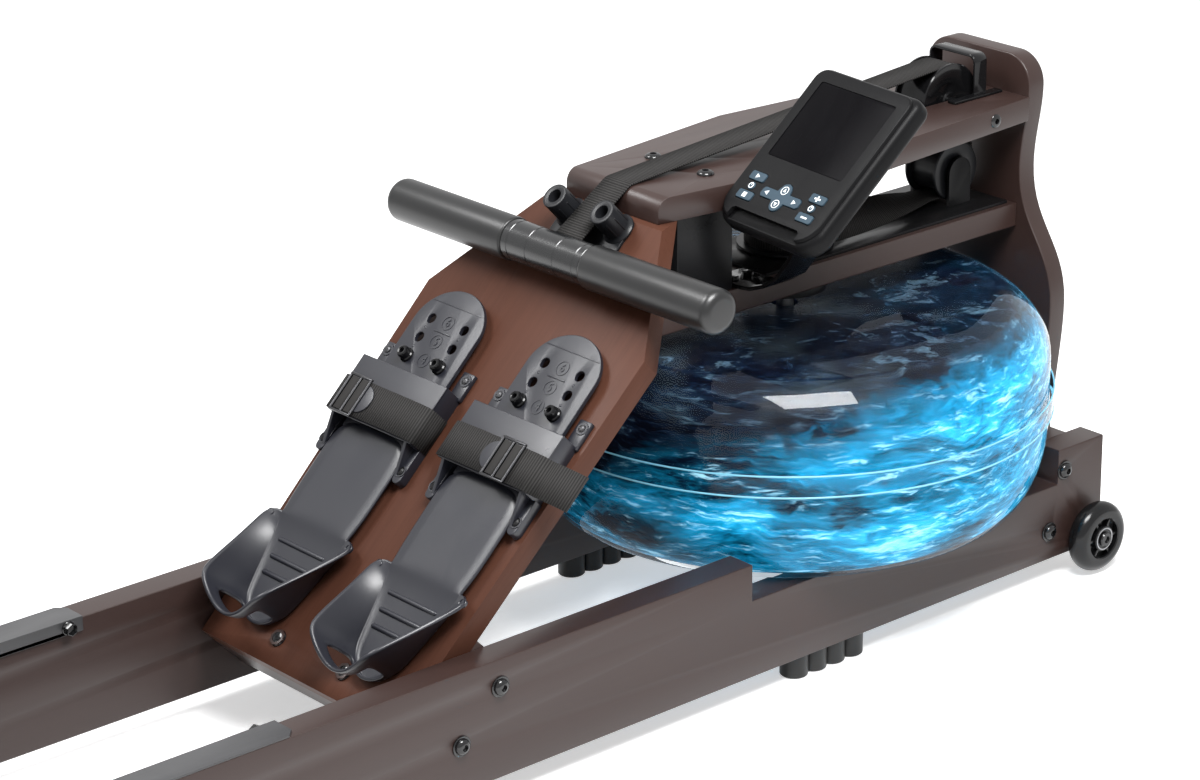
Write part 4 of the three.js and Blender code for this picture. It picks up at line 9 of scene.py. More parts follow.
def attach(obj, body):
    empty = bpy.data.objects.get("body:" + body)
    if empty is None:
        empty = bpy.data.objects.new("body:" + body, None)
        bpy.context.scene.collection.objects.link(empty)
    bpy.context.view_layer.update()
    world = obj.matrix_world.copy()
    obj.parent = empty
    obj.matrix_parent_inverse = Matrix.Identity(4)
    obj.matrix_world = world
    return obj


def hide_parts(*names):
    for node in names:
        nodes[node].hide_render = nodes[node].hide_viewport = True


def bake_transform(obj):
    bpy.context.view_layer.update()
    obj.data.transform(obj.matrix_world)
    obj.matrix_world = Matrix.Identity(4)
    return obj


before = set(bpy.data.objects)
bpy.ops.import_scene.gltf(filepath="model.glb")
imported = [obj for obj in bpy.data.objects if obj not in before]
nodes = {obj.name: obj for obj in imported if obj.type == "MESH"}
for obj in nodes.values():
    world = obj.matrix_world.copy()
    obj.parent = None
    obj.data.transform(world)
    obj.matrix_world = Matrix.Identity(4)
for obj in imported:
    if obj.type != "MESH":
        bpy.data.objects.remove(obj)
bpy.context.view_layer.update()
scene = bpy.context.scene

MM = 0.001
MACHINE = Matrix.Scale(MM, 4)
SIDES = ((-1, "near"), (1, "far"))

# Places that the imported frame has, in millimetres
TANK_X = 746.7
PANEL_REAR = 1026.5
RAIL_OUTER = 185
BOARD_SLOPE = radians(43.787)
FOOTREST_Y = 85.2
TOP_BOARD_TOP = 490
NOSE_X = 512
NOSE_ROUND = 14
TANK_RADIUS = 272
TANK_FLOOR = 106
TANK_TOP = 331
SEAM_Z = 221
TANK_WALL = 5
FILLER_PLACE = (-105, 110)
LIP_FACE = 150.7
STOP_PLACE = (-38.4, 138.5)
AXLE_PLACE = (1012, 40)
TOP_PULLEY = (962, 487.5)
TOP_GROOVE = 36
GUIDE_PULLEY = (973, 410)
GUIDE_GROOVE = 25
DRUM_CORE = 40
RECOIL_PULLEY = (592, 6)
CORD_HEIGHT = 429.6
HANDLE_S, HANDLE_LIFT = 475, 24.5
PEG_S = 527
FOOT_STRAP_S = 266
CONSOLE_HINGE = Vector((0, -60, -38))


def rotation(turn, axis="Z"):
    """A rotation by an angle in degrees."""
    return Matrix.Rotation(radians(turn), 4, axis)


def shifted(frame_matrix, x, y, z):
    """The same frame with its origin moved, in its own millimetres."""
    return frame_matrix @ Matrix.Translation((x, y, z))


BOARD = Matrix.Translation((0.1119, 0, 0.0903)) @ Matrix.Rotation(-BOARD_SLOPE, 4, "Y") @ MACHINE
ACROSS_SCREEN = Vector((-0.10279, -0.9947, 0))
UP_SCREEN = Vector((0.73337, -0.07579, 0.67559))
SCREEN_TURN = Matrix((ACROSS_SCREEN, UP_SCREEN, ACROSS_SCREEN.cross(UP_SCREEN))).transposed().to_4x4()
CONSOLE = Matrix.Translation((0.655, -0.156, 0.5485)) @ SCREEN_TURN @ MACHINE
LYING = rotation(-90, "X")
TOWARDS_SIDE = {-1: rotation(90, "X"), 1: LYING}


# Camera, with the photograph's angle and framing
def aim_camera():
    data = bpy.data.cameras.new("camera")
    data.lens = 109.85
    data.sensor_width = 36
    data.clip_end = 60
    camera = bpy.data.objects.new("camera", data)
    scene.collection.objects.link(camera)
    yaw, pitch, roll = map(radians, (48.897, 20.808, -0.573))
    forward = Vector((cos(yaw) * cos(pitch), sin(yaw) * cos(pitch), -sin(pitch)))
    level = Vector((sin(yaw), -cos(yaw), 0))
    upright = level.cross(forward)
    right = level * cos(roll) + upright * sin(roll)
    up = upright * cos(roll) - level * sin(roll)
    turn = Matrix((right, up, -forward)).transposed().to_4x4()
    camera.matrix_world = Matrix.Translation((-1.7183, -2.5364, 1.5608)) @ turn
    scene.camera = camera


aim_camera()


# Shader helpers
def feed(tree, node, sockets):
    """Gives each named socket of a node its value, or wires it to an output."""
    for key, value in sockets.items():
        if isinstance(value, bpy.types.NodeSocket):
            tree.links.new(value, node.inputs[key])
        else:
            node.inputs[key].default_value = value
    return node.outputs


def add(tree, kind, sockets=None, **settings):
    """The outputs of a new node that has these settings and sockets."""
    made = tree.nodes.new("ShaderNode" + kind)
    for key, value in settings.items():
        setattr(made, key, value)
    return feed(tree, made, sockets or {})


def maths(tree, operation, a, b=0.0, clamp=False):
    return add(tree, "Math", {0: a, 1: b}, operation=operation, use_clamp=clamp)[0]


def weighted(tree, start, *terms):
    """A start value plus each value times its weight."""
    total = start
    for value, weight in terms:
        total = add(tree, "Math", {0: value, 1: weight, 2: total}, operation="MULTIPLY_ADD")[0]
    return total


def spread(tree, value, low, high, first=0.0, last=1.0):
    """Maps what lies from first to last onto low to high, and holds it there."""
    sockets = {"Value": value, "From Min": first, "From Max": last, "To Min": low, "To Max": high}
    return add(tree, "MapRange", sockets)[0]


def blend_colours(tree, share, a, b):
    return add(tree, "Mix", {0: share, 6: a, 7: b}, data_type="RGBA")[2]


def ramp(tree, source, stops):
    colours = add(tree, "ValToRGB", {0: source})
    made = colours[0].node
    while len(made.color_ramp.elements) < len(stops):
        made.color_ramp.elements.new(0.5)
    for element, (place, colour) in zip(made.color_ramp.elements, stops):
        element.position = place
        element.color = colour if isinstance(colour, tuple) else (colour, colour, colour, 1)
    return colours[0]


def noise(tree, vector, scale, detail=4.0, roughness=0.5, distortion=0.0):
    sockets = {"Vector": vector, "Scale": scale, "Detail": detail, "Roughness": roughness}
    return add(tree, "TexNoise", sockets | {"Distortion": distortion})["Fac"]


def stretched(tree, vector, scale, turn=(0, 0, 0), place=(0, 0, 0)):
    return add(tree, "Mapping", {"Vector": vector, "Location": place, "Rotation": turn, "Scale": scale})[0]


def object_place(tree):
    return add(tree, "TexCoord")["Object"]


def bump(tree, height, strength, distance):
    return add(tree, "Bump", {"Height": height, "Strength": strength, "Distance": distance})[0]


def group(name, inputs, outputs):
    """An empty shader group with named sockets, with its inputs and its end node."""
    tree = bpy.data.node_groups.new(name, "ShaderNodeTree")
    for label, kind, value in inputs:
        socket = tree.interface.new_socket(label, in_out="INPUT", socket_type="NodeSocket" + kind)
        if value is not None:
            socket.default_value = value
    for label, kind in outputs:
        tree.interface.new_socket(label, in_out="OUTPUT", socket_type="NodeSocket" + kind)
    return tree, tree.nodes.new("NodeGroupInput").outputs, tree.nodes.new("NodeGroupOutput")


def blank(name):
    material = bpy.data.materials.new(name)
    material.use_nodes = True
    return material, material.node_tree


def dressed(material, sockets):
    """The material, with its Principled shader fed."""
    feed(material.node_tree, material.node_tree.nodes["Principled BSDF"], sockets)
    return material


# Shared effects
def make_wood_grain():
    """Stained hardwood, whose fibres run along the first axis of the vector."""
    inputs = [("Vector", "Vector", None), ("Pale", "Color", (0.2, 0.09, 0.06, 1))]
    inputs.append(("Dark", "Color", (0.06, 0.02, 0.015, 1)))
    outputs = [("Colour", "Color"), ("Roughness", "Float"), ("Height", "Float")]
    tree, given, end = group("wood_grain", inputs, outputs)
    vector, dark = given["Vector"], given["Dark"]
    cloudy = noise(tree, stretched(tree, vector, (1.6, 3, 3)), 2.2, 5, 0.6, 0.6)
    rings = noise(tree, stretched(tree, vector, (1.2, 22, 22)), 3.0, 6, 0.62, 1.4)
    fibres = noise(tree, stretched(tree, vector, (9, 260, 260)), 2.0, 3, 0.6)
    pores = noise(tree, stretched(tree, vector, (26, 520, 520)), 1.5, 2, 0.5)
    solid = ramp(tree, pores, [(0.28, 0.0), (0.42, 1.0)])
    tone = weighted(tree, 0.0, (cloudy, 0.39), (rings, 0.39), (fibres, 0.22))
    colour = blend_colours(tree, ramp(tree, tone, [(0.12, 0.0), (0.88, 1.0)]), dark, given["Pale"])
    colour = blend_colours(tree, weighted(tree, 0.45, (solid, -0.45)), colour, dark)
    height = weighted(tree, 0.0, (fibres, 0.6), (solid, 0.5))
    feed(
        tree, end,
        {"Colour": colour, "Roughness": spread(tree, cloudy, 0.36, 0.41, 0.3, 0.7), "Height": height}
    )
    return tree


def make_moulded_grain():
    """The fine stipple of a moulded or painted surface, with faint smears where hands and shoes rub it."""
    inputs = [("Vector", "Vector", None), ("Stipple", "Float", 900.0), ("Smear", "Float", 7.0)]
    outputs = [("Height", "Float"), ("Smears", "Float"), ("Scratches", "Float")]
    tree, given, end = group("moulded_grain", inputs, outputs)
    vector = given["Vector"]
    smears = noise(tree, stretched(tree, vector, (1, 1.6, 1)), given["Smear"], 5, 0.62, 0.8)
    fine = noise(tree, stretched(tree, vector, (8, 120, 30), (0.3, 0.2, 0.5)), 3.0, 3, 0.6)
    results = {"Height": noise(tree, vector, given["Stipple"], 2, 0.5)}
    results["Smears"] = ramp(tree, smears, [(0.32, 0.0), (0.72, 1.0)])
    results["Scratches"] = ramp(tree, fine, [(0.62, 0.0), (0.78, 1.0)])
    feed(tree, end, results)
    return tree


def make_woven_ribs():
    """Webbing: ribs across a strap whose UV runs along it in metres, with a finer thread between them; Shade
    is the same height, used for painted shade in the grooves and painted highlight on the crests.
    """
    inputs = [("Vector", "Vector", None), ("Ribs", "Float", 620.0), ("Threads", "Float", 900.0)]
    tree, given, end = group("woven_ribs", inputs, [("Height", "Float"), ("Shade", "Float")])
    parts = add(tree, "SeparateXYZ", {0: given["Vector"]})

    def turns(part, count):
        return maths(tree, "MULTIPLY", maths(tree, "MULTIPLY", part, given[count]), 2 * pi)

    along = maths(tree, "SINE", turns(parts[0], "Ribs"))
    across = maths(tree, "SINE", weighted(tree, turns(parts[1], "Threads"), (along, 1.2)))
    fuzz = noise(tree, given["Vector"], 700.0, 3, 0.6)
    height = weighted(tree, 0.5, (along, 0.32), (across, 0.18), (fuzz, 0.25))
    feed(tree, end, {"Height": height, "Shade": maths(tree, "MULTIPLY", height, 0.8, True)})
    return tree


WOOD_GRAIN = make_wood_grain()
MOULDED_GRAIN = make_moulded_grain()
WOVEN_RIBS = make_woven_ribs()


# Finishes
def timber(name, turn, pale, dark, shine):
    material, tree = blank(name)
    vector = stretched(tree, object_place(tree), (1, 1, 1), turn)
    made = add(tree, "Group", {"Vector": vector, "Pale": pale, "Dark": dark}, node_tree=WOOD_GRAIN)
    looks = {"Base Color": made["Colour"], "Roughness": made["Roughness"], "Specular IOR Level": shine}
    return dressed(material, looks | {"Normal": bump(tree, made["Height"], 0.05, 0.0006)})


def moulded(name, colour, dull, sheen, stipple=900.0, depth=0.2, shine=0.3):
    """Moulded plastic, rubber or paint: dull and sheen are its roughest and smoothest places."""
    material, tree = blank(name)
    colour += (1,)
    sockets = {"Vector": object_place(tree), "Stipple": stipple}
    made = add(tree, "Group", sockets, node_tree=MOULDED_GRAIN)
    pale = tuple(min(c * 1.35 + 0.004, 1) for c in colour[:3]) + (1,)
    rough = weighted(tree, spread(tree, made["Smears"], dull, sheen), (made["Scratches"], 0.06))
    worn = blend_colours(tree, maths(tree, "MULTIPLY", made["Smears"], 0.6), colour, pale)
    looks = {"Base Color": worn, "Roughness": rough, "Specular IOR Level": shine}
    return dressed(material, looks | {"Normal": bump(tree, made["Height"], depth, 0.0003)})


def metal(name, colour, dull, sheen):
    """Bare steel with fine brushed lines along it."""
    material, tree = blank(name)
    vector = object_place(tree)
    made = add(tree, "Group", {"Vector": vector, "Stipple": 1500.0}, node_tree=MOULDED_GRAIN)
    lines = noise(tree, stretched(tree, vector, (6, 300, 300)), 3.0, 3, 0.6)
    rough = weighted(tree, spread(tree, made["Smears"], dull, sheen), (lines, 0.1))
    looks = {"Base Color": colour + (1,), "Metallic": 1.0, "Roughness": rough}
    return dressed(material, looks | {"Normal": bump(tree, lines, 0.08, 0.0002)})


def webbing(name, ribs):
    material, tree = blank(name)
    vector = add(tree, "UVMap", uv_map="run")[0]
    made = add(tree, "Group", {"Vector": vector, "Ribs": ribs}, node_tree=WOVEN_RIBS)
    # Painted shade and highlight: the colour follows the ribs' height, darker in the grooves and paler on the
    # crests.
    colour = blend_colours(tree, made["Shade"], (0.004, 0.004, 0.004, 1), (0.056, 0.054, 0.053, 1))
    looks = {"Base Color": colour, "Roughness": 0.85, "Specular IOR Level": 0.06}
    return dressed(material, looks | {"Normal": bump(tree, made["Height"], 0.8, 0.0007)})


def foam():
    material, tree = blank("grip_foam")
    vector = object_place(tree)
    cells = add(tree, "TexVoronoi", {"Vector": vector, "Scale": 1100.0})["Distance"]
    worn = noise(tree, vector, 18.0, 5, 0.6)
    colour = blend_colours(tree, worn, (0.0045, 0.0046, 0.0048, 1), (0.0085, 0.0087, 0.009, 1))
    looks = {"Base Color": colour, "Roughness": spread(tree, worn, 0.28, 0.4), "Specular IOR Level": 0.5}
    height = weighted(tree, cells, (worn, 1.0))
    return dressed(material, looks | {"Normal": bump(tree, height, 0.1, 0.0003)})


def leather():
    """Worn seat skin, with creases between its cells that are painted darker as shade."""
    material, tree = blank("seat_skin")
    vector = object_place(tree)
    cells = add(
        tree, "TexVoronoi", {"Vector": vector, "Scale": 420.0}, feature="DISTANCE_TO_EDGE"
    )["Distance"]
    raised = ramp(tree, cells, [(0.0, 0.0), (0.18, 1.0)])
    worn = noise(tree, vector, 9.0, 5, 0.6, 0.4)
    colour = blend_colours(tree, worn, (0.014, 0.014, 0.015, 1), (0.03, 0.03, 0.031, 1))
    # Painted shade: the creases between the cells are darker.
    colour = blend_colours(tree, raised, (0.006, 0.006, 0.006, 1), colour)
    looks = {"Base Color": colour, "Roughness": spread(tree, worn, 0.38, 0.56), "Specular IOR Level": 0.45}
    return dressed(material, looks | {"Normal": bump(tree, raised, 0.35, 0.0005)})


def clear_plastic():
    """The outside of the clear tank: it hardly bends the view and is glossiest on its shoulder."""
    material, tree = blank("clear_plastic")
    vector = object_place(tree)
    fine = noise(tree, vector, 14.0, 3, 0.5)
    height = spread(tree, add(tree, "SeparateXYZ", {0: vector})[2], 0.0, 1.0, 0.2, 0.335)
    gloss = ramp(tree, height, [(0.0, 0.36), (0.5, 0.42), (0.66, 0.95), (0.86, 0.95), (0.97, 0.22)])
    looks = {"Base Color": (0.97, 0.99, 1.0, 1), "IOR": 1.02, "Transmission Weight": 1.0, "Coat IOR": 1.3}
    looks |= {"Coat Roughness": 0.03, "Coat Weight": gloss, "Roughness": spread(tree, fine, 0.0, 0.02)}
    dressed(material, looks | {"Normal": bump(tree, fine, 0.02, 0.002)})
    shader = tree.nodes["Principled BSDF"].outputs[0]
    passing = add(tree, "BsdfTransparent", {"Color": (0.95, 0.98, 0.99, 1)})[0]
    mixed = add(tree, "MixShader", {0: add(tree, "LightPath")["Is Shadow Ray"], 1: shader, 2: passing})[0]
    feed(tree, tree.nodes["Material Output"], {"Surface": mixed})
    return material


def shell_inside():
    """The shells' inner faces and their weld: a faint bloom on the plastic, and clear elsewhere."""
    material, tree = blank("shell_inside")
    bloom = ramp(tree, noise(tree, object_place(tree), 11.0, 3, 0.5), [(0.5, 0.0), (0.8, 0.04)])
    looks = {"Base Color": (0.5, 0.7, 0.8, 1), "Roughness": 0.4, "Specular IOR Level": 0.0, "Alpha": bloom}
    return dressed(material, looks)


def water_swirl():
    """Stirred blue water, foamy low down, with painted light and shade: brighter low down and towards the
    tank end, near black with painted glints on top, and glowing faintly.
    """
    material, tree = blank("water")
    centred = stretched(tree, object_place(tree), (1, 1, 1), place=(-TANK_X * MM, 0, -SEAM_Z * MM))
    turned = stretched(tree, centred, (1, 1, 1), (0, 0, radians(41)))
    parts = add(tree, "SeparateXYZ", {0: turned})
    along, height = parts[0], parts[2]

    def swirled(scale, reach):
        """Each place, carried off sideways by a swirl."""
        sockets = {"Vector": turned, "Scale": scale, "Detail": 4.0, "Distortion": 0.8}
        warp = add(tree, "TexNoise", sockets)["Color"]
        offset = add(tree, "VectorMath", {0: warp, 1: (0.5, 0.5, 0.5)}, operation="SUBTRACT")[0]
        sockets = {0: offset, 1: (reach, reach, reach * 0.7), 2: turned}
        return add(tree, "VectorMath", sockets, operation="MULTIPLY_ADD")[0]

    def leaning(vector, scale, *grain):
        return noise(tree, stretched(tree, vector, scale, (0, radians(24), 0)), *grain)

    stirred = swirled(6.0, 0.12)
    patches = leaning(stirred, (5, 5, 13), 1.6, 5, 0.55, 0.5)
    streaks = leaning(stirred, (11, 15, 60), 1.6, 8, 0.66, 0.5)
    flecks = leaning(swirled(18.0, 0.024), (14, 22, 104), 1.5, 7, 0.72, 0.5)
    painted_glints = leaning(stirred, (30, 44, 130), 1.4, 4, 0.6, 0.8)
    # Painted shade: the top of the water is darkened to near black, with painted glints and pale specks of
    # painted reflection in it.
    above = weighted(tree, -0.138, (height, 1.0), (along, -0.24), (patches, 0.16), (flecks, 0.06))
    above = maths(tree, "MAXIMUM", above, maths(tree, "SUBTRACT", height, 0.066))
    painted_shade_top = spread(tree, above, 0.0, 1.0, -0.012, 0.03)
    # Painted light: the water is made brighter low down and towards the tank end.
    low = spread(tree, height, 0.0, 1.0, 0.04, -0.1)
    painted_light_towards_end = spread(tree, along, 0.0, 1.0, -0.27, 0.2)
    tone = weighted(tree, 0.0, (patches, 1.1), (streaks, 0.8), (flecks, 0.55), (painted_light_towards_end, 0.2), (low, 0.08))
    tone = spread(tree, tone, 0.0, 1.0, 1.06, 1.7)
    blues = [
        (0.0, (0.0008, 0.003, 0.009, 1)), (0.16, (0.001, 0.014, 0.030, 1)), (0.36, (0.0015, 0.07, 0.13, 1)),
        (0.56, (0.003, 0.15, 0.29, 1)), (0.78, (0.008, 0.28, 0.52, 1)), (1.0, (0.17, 0.54, 0.76, 1))
    ]
    top_shade_and_glint_stops = [
        (0.46, (0.001, 0.0015, 0.004, 1)), (0.6, (0.004, 0.009, 0.02, 1)), (0.7, (0.04, 0.075, 0.11, 1)),
        (0.82, (0.3, 0.4, 0.46, 1))
    ]
    painted_top_shade_and_glints = ramp(tree, weighted(tree, 0.0, (flecks, 0.75), (painted_glints, 0.25)), top_shade_and_glint_stops)
    colour = blend_colours(tree, painted_shade_top, ramp(tree, tone, blues), painted_top_shade_and_glints)
    foam_mask = ramp(tree, weighted(tree, flecks, (tone, 0.1)), [(0.61, 0.0), (0.74, 1.0)])
    foam_share = maths(tree, "MULTIPLY", foam_mask, weighted(tree, 0.62, (painted_shade_top, -0.56)))
    colour = blend_colours(tree, foam_share, colour, (0.42, 0.74, 0.86, 1))
    # The colour is also given as a faint glow, a painted light; the water is no lamp.
    looks = {"Base Color": colour, "IOR": 1.33, "Specular IOR Level": 0.06, "Emission Color": colour}
    looks |= {"Emission Strength": 0.36, "Roughness": spread(tree, foam_mask, 0.2, 0.5)}
    return dressed(
        material, looks | {"Normal": bump(tree, weighted(tree, streaks, (flecks, 0.5)), 0.16, 0.004)}
    )


BROWN, DEEP_BROWN = (0.034, 0.0191, 0.0163, 1), (0.0255, 0.0139, 0.0119, 1)
RED_BROWN, DEEP_RED = (0.088, 0.036, 0.023, 1), (0.046, 0.0178, 0.0112, 1)
WOOD_ALONG = timber("timber_along", (0, 0, 0), BROWN, DEEP_BROWN, 0.38)
WOOD_SLOPE = timber("timber_slope", (0, BOARD_SLOPE, 0), RED_BROWN, DEEP_RED, 0.09)
WOOD_UPRIGHT = timber("timber_upright", (0, radians(90), 0), BROWN, DEEP_BROWN, 0.38)
WOOD_ACROSS = timber("timber_across", (0, 0, radians(90)), BROWN, DEEP_BROWN, 0.38)
BLACK_PLASTIC = moulded("black_plastic", (0.007, 0.0075, 0.009), 0.38, 0.28, 1200.0, 0.12, 0.22)
SLEEVE_PLASTIC = moulded("sleeve_plastic", (0.005, 0.0052, 0.0058), 0.28, 0.2, 900.0, 0.04, 0.62)
REST_PLASTIC = moulded("footrest_plastic", (0.0108, 0.0114, 0.0162), 0.38, 0.26, 1200.0, 0.12, 0.44)
CONSOLE_PLASTIC = moulded("console_plastic", (0.0038, 0.0038, 0.0042), 0.44, 0.34, 1800.0, 0.2, 0.08)
GLOSS_BLACK = moulded("gloss_black", (0.004, 0.004, 0.0045), 0.16, 0.08, 300.0, 0.03, 0.25)
BLACK_STEEL = moulded("black_steel", (0.005, 0.005, 0.0055), 0.34, 0.26, 1600.0, 0.12, 0.14)
BOLT_BLACK = moulded("bolt_black", (0.004, 0.004, 0.0045), 0.2, 0.12, 700.0, 0.04, 0.5)
TYRE_BLACK = moulded("tyre_black", (0.0035, 0.0036, 0.004), 0.24, 0.14, 400.0, 0.03, 0.3)
TRACK_STEEL = moulded("track_steel", (0.034, 0.034, 0.036), 0.4, 0.3, 700.0, 0.1, 0.42)
BRIGHT_STEEL = metal("bright_steel", (0.3, 0.3, 0.31), 0.4, 0.28)
BUCKLE_STEEL = metal("buckle_steel", (0.06, 0.06, 0.063), 0.32, 0.22)
RUBBER = moulded("foot_rubber", (0.012, 0.012, 0.012), 0.5, 0.34, 500.0, 0.2, 0.3)
KEY_RUBBER = moulded("key_rubber", (0.022, 0.042, 0.060), 0.6, 0.5, 900.0, 0.15, 0.25)
WHITE_MARK = moulded("white_mark", (0.7, 0.73, 0.75), 0.6, 0.5, 900.0, 0.05)
SCREEN_GLASS = moulded("screen_glass", (0.002, 0.0018, 0.0024), 0.3, 0.22, 60.0, 0.01, 0.02)
# Painted highlight: the pale cyan of the seam's lips stands for light caught in the clear band's edges.
SEAM_LIP_HIGHLIGHT = moulded("seam_lip", (0.16, 0.42, 0.55), 0.2, 0.1, 300.0, 0.02, 0.5)
FOAM = foam()
SEAT_SKIN = leather()
CLEAR = clear_plastic()
SHELL_INSIDE = shell_inside()
WATER = water_swirl()
STRAP_WEB = webbing("drive_webbing", 350.0)
FOOT_WEB = webbing("foot_webbing", 330.0)

# The finishes that share a slot under another name than their own
SHARED_SLOTS = {
    "timber": [WOOD_ALONG, WOOD_SLOPE, WOOD_UPRIGHT, WOOD_ACROSS],
    "black_plastic": [SLEEVE_PLASTIC, REST_PLASTIC, CONSOLE_PLASTIC],
    "gloss_black": [SCREEN_GLASS],
    "black_steel": [BOLT_BLACK],
    "bright_steel": [BUCKLE_STEEL],
    "foot_rubber": [TYRE_BLACK],
    "webbing": [STRAP_WEB, FOOT_WEB],
}


def own_name(finish):
    """The name that a finish was given, without the number that Blender puts after it."""
    return finish.name.split(".")[0]


SLOT_OF = {own_name(finish): slot for slot, finishes in SHARED_SLOTS.items() for finish in finishes}


# Shape helpers; each returns a bmesh in millimetres
VERT, EDGE = bmesh.types.BMVert, bmesh.types.BMEdge


def only(kind, items):
    return [item for item in items if isinstance(item, kind)]


def into_scene(name, data):
    made = bpy.data.objects.new(name, data)
    scene.collection.objects.link(made)
    return made


def mesh_of(name, shape):
    """A mesh that takes over a shape."""
    mesh = bpy.data.meshes.new(name)
    shape.to_mesh(mesh)
    shape.free()
    return mesh


def shown_mesh(made):
    """The mesh that an object shows with its modifiers."""
    return bpy.data.meshes.new_from_object(made.evaluated_get(bpy.context.evaluated_depsgraph_get()))


def shape_of(mesh):
    """A shape that takes over a mesh."""
    shape = bmesh.new()
    shape.from_mesh(mesh)
    bpy.data.meshes.remove(mesh)
    return shape


def made_whole(shape, reach=0.0005):
    """Merges points that coincide and turns every face outward."""
    bmesh.ops.remove_doubles(shape, verts=shape.verts, dist=reach)
    bmesh.ops.recalc_face_normals(shape, faces=shape.faces)
    return shape


def cuboid(x, y, z, edge=0.0, segments=3):
    shape = bmesh.new()
    bmesh.ops.create_cube(shape, size=1)
    bmesh.ops.scale(shape, vec=(x[1] - x[0], y[1] - y[0], z[1] - z[0]), verts=shape.verts)
    middle = ((x[0] + x[1]) / 2, (y[0] + y[1]) / 2, (z[0] + z[1]) / 2)
    bmesh.ops.translate(shape, vec=middle, verts=shape.verts)
    if edge:
        rims = shape.edges[:]
        bmesh.ops.bevel(
            shape, geom=rims, offset=edge, segments=segments, profile=0.5, affect="EDGES", material=-1
        )
    return shape


def spun(profile, steps=64, closed=False):
    """A profile of (radius, height) turned about the upright axis."""
    shape = bmesh.new()
    points = [shape.verts.new((radius, 0, height)) for radius, height in profile]
    edges = [shape.edges.new(pair) for pair in zip(points, points[1:])]
    if closed:
        edges.append(shape.edges.new((points[-1], points[0])))
    axis = {"cent": (0, 0, 0), "axis": (0, 0, 1), "angle": 2 * pi}
    bmesh.ops.spin(shape, geom=points + edges, steps=steps, use_merge=True, use_duplicate=False, **axis)
    return made_whole(shape)


def gather(*shapes):
    whole = bmesh.new()
    for shape in shapes:
        mesh = mesh_of("shape", shape)
        whole.from_mesh(mesh)
        bpy.data.meshes.remove(mesh)
    return whole


def moved(shape, x=0.0, y=0.0, z=0.0, turn=None):
    if turn is not None:
        bmesh.ops.transform(shape, matrix=turn, verts=shape.verts)
    bmesh.ops.translate(shape, vec=(x, y, z), verts=shape.verts)
    return shape


def tinted(shape, index):
    for face in shape.faces:
        face.material_index = index
    return shape


def arc(x, y, radius, first, last, steps):
    """Points round an arc, with its angles in degrees."""
    turns = [radians(first + (last - first) * i / steps) for i in range(steps + 1)]
    return [(x + radius * cos(turn), y + radius * sin(turn)) for turn in turns]


def rounded_box(half_x, half_y, radius, x=0.0, y=0.0, steps=6):
    points = []
    for sign_x, sign_y, first in ((1, 1, 0), (-1, 1, 90), (-1, -1, 180), (1, -1, 270)):
        middle = (x + sign_x * (half_x - radius), y + sign_y * (half_y - radius))
        points += arc(*middle, radius, first, first + 90, steps)
    return points


def traced(curve):
    """The shape of a curve or a digit, which it takes over."""
    drawn = into_scene("curve", curve)
    shape = shape_of(shown_mesh(drawn))
    bpy.data.objects.remove(drawn)
    bpy.data.curves.remove(curve)
    return shape


def flat_plate(loops, low, high, rim=0.6, fineness=2):
    """A plate with rounded rims from closed loops of points, the first its outline and the rest its holes."""
    curve = bpy.data.curves.new("outline", "CURVE")
    curve.dimensions = "2D"
    curve.fill_mode = "BOTH"
    curve.extrude = (high - low) / 2 - rim
    curve.bevel_depth = rim
    curve.offset = -rim
    curve.bevel_resolution = fineness
    for loop in loops:
        spline = curve.splines.new("POLY")
        spline.points.add(len(loop) - 1)
        spline.use_cyclic_u = True
        for point, (x, y) in zip(spline.points, loop):
            point.co = (x, y, 0, 1)
    return moved(made_whole(traced(curve)), z=(low + high) / 2)


def lettered(mark, size, height, x, y, z, turn=0.0):
    """A raised digit, its upright along +Y before the turn."""
    curve = bpy.data.curves.new("mark", "FONT")
    curve.body = mark
    curve.size = size
    curve.align_x = curve.align_y = "CENTER"
    curve.extrude = height / 2
    return moved(traced(curve), x, y, z + height / 2, rotation(turn))


def carved(shape, *cutters):
    """The shape with each cutter taken out of it."""
    for cutter in cutters:
        bodies = [into_scene("body", mesh_of("body", part)) for part in (shape, cutter)]
        cut = bodies[0].modifiers.new("cut", "BOOLEAN")
        cut.operation, cut.solver, cut.object = "DIFFERENCE", "EXACT", bodies[1]
        bpy.context.view_layer.update()
        shape = shape_of(shown_mesh(bodies[0]))
        for body in bodies:
            data = body.data
            bpy.data.objects.remove(body)
            bpy.data.meshes.remove(data)
    return shape


def banded(path):
    """A flat strip through (place, half width vector) pairs, whose UV runs along it in metres."""
    shape = bmesh.new()
    run = shape.loops.layers.uv.new("run")
    place, half = path[0]
    edge = shape.edges.new((shape.verts.new(place - half), shape.verts.new(place + half)))
    spots = {edge.verts[0]: (0.0, 0.0), edge.verts[1]: (0.0, half.length * 2 * MM)}
    length = 0.0
    for (before, _), (place, half) in zip(path, path[1:]):
        length += (place - before).length * MM
        grown = bmesh.ops.extrude_edge_only(shape, edges=[edge])["geom"]
        fresh = only(VERT, grown)
        old = {
            vert: other for vert in fresh for link in vert.link_edges
            for other in link.verts if other in spots
        }
        for vert in fresh:
            outer = spots[old[vert]][1] > 0
            vert.co = place + half if outer else place - half
            spots[vert] = (length, half.length * 2 * MM if outer else 0.0)
        edge = next(item for item in only(EDGE, grown) if all(vert in fresh for vert in item.verts))
    for face in shape.faces:
        for corner in face.loops:
            corner[run].uv = spots[corner.vert]
    return shape


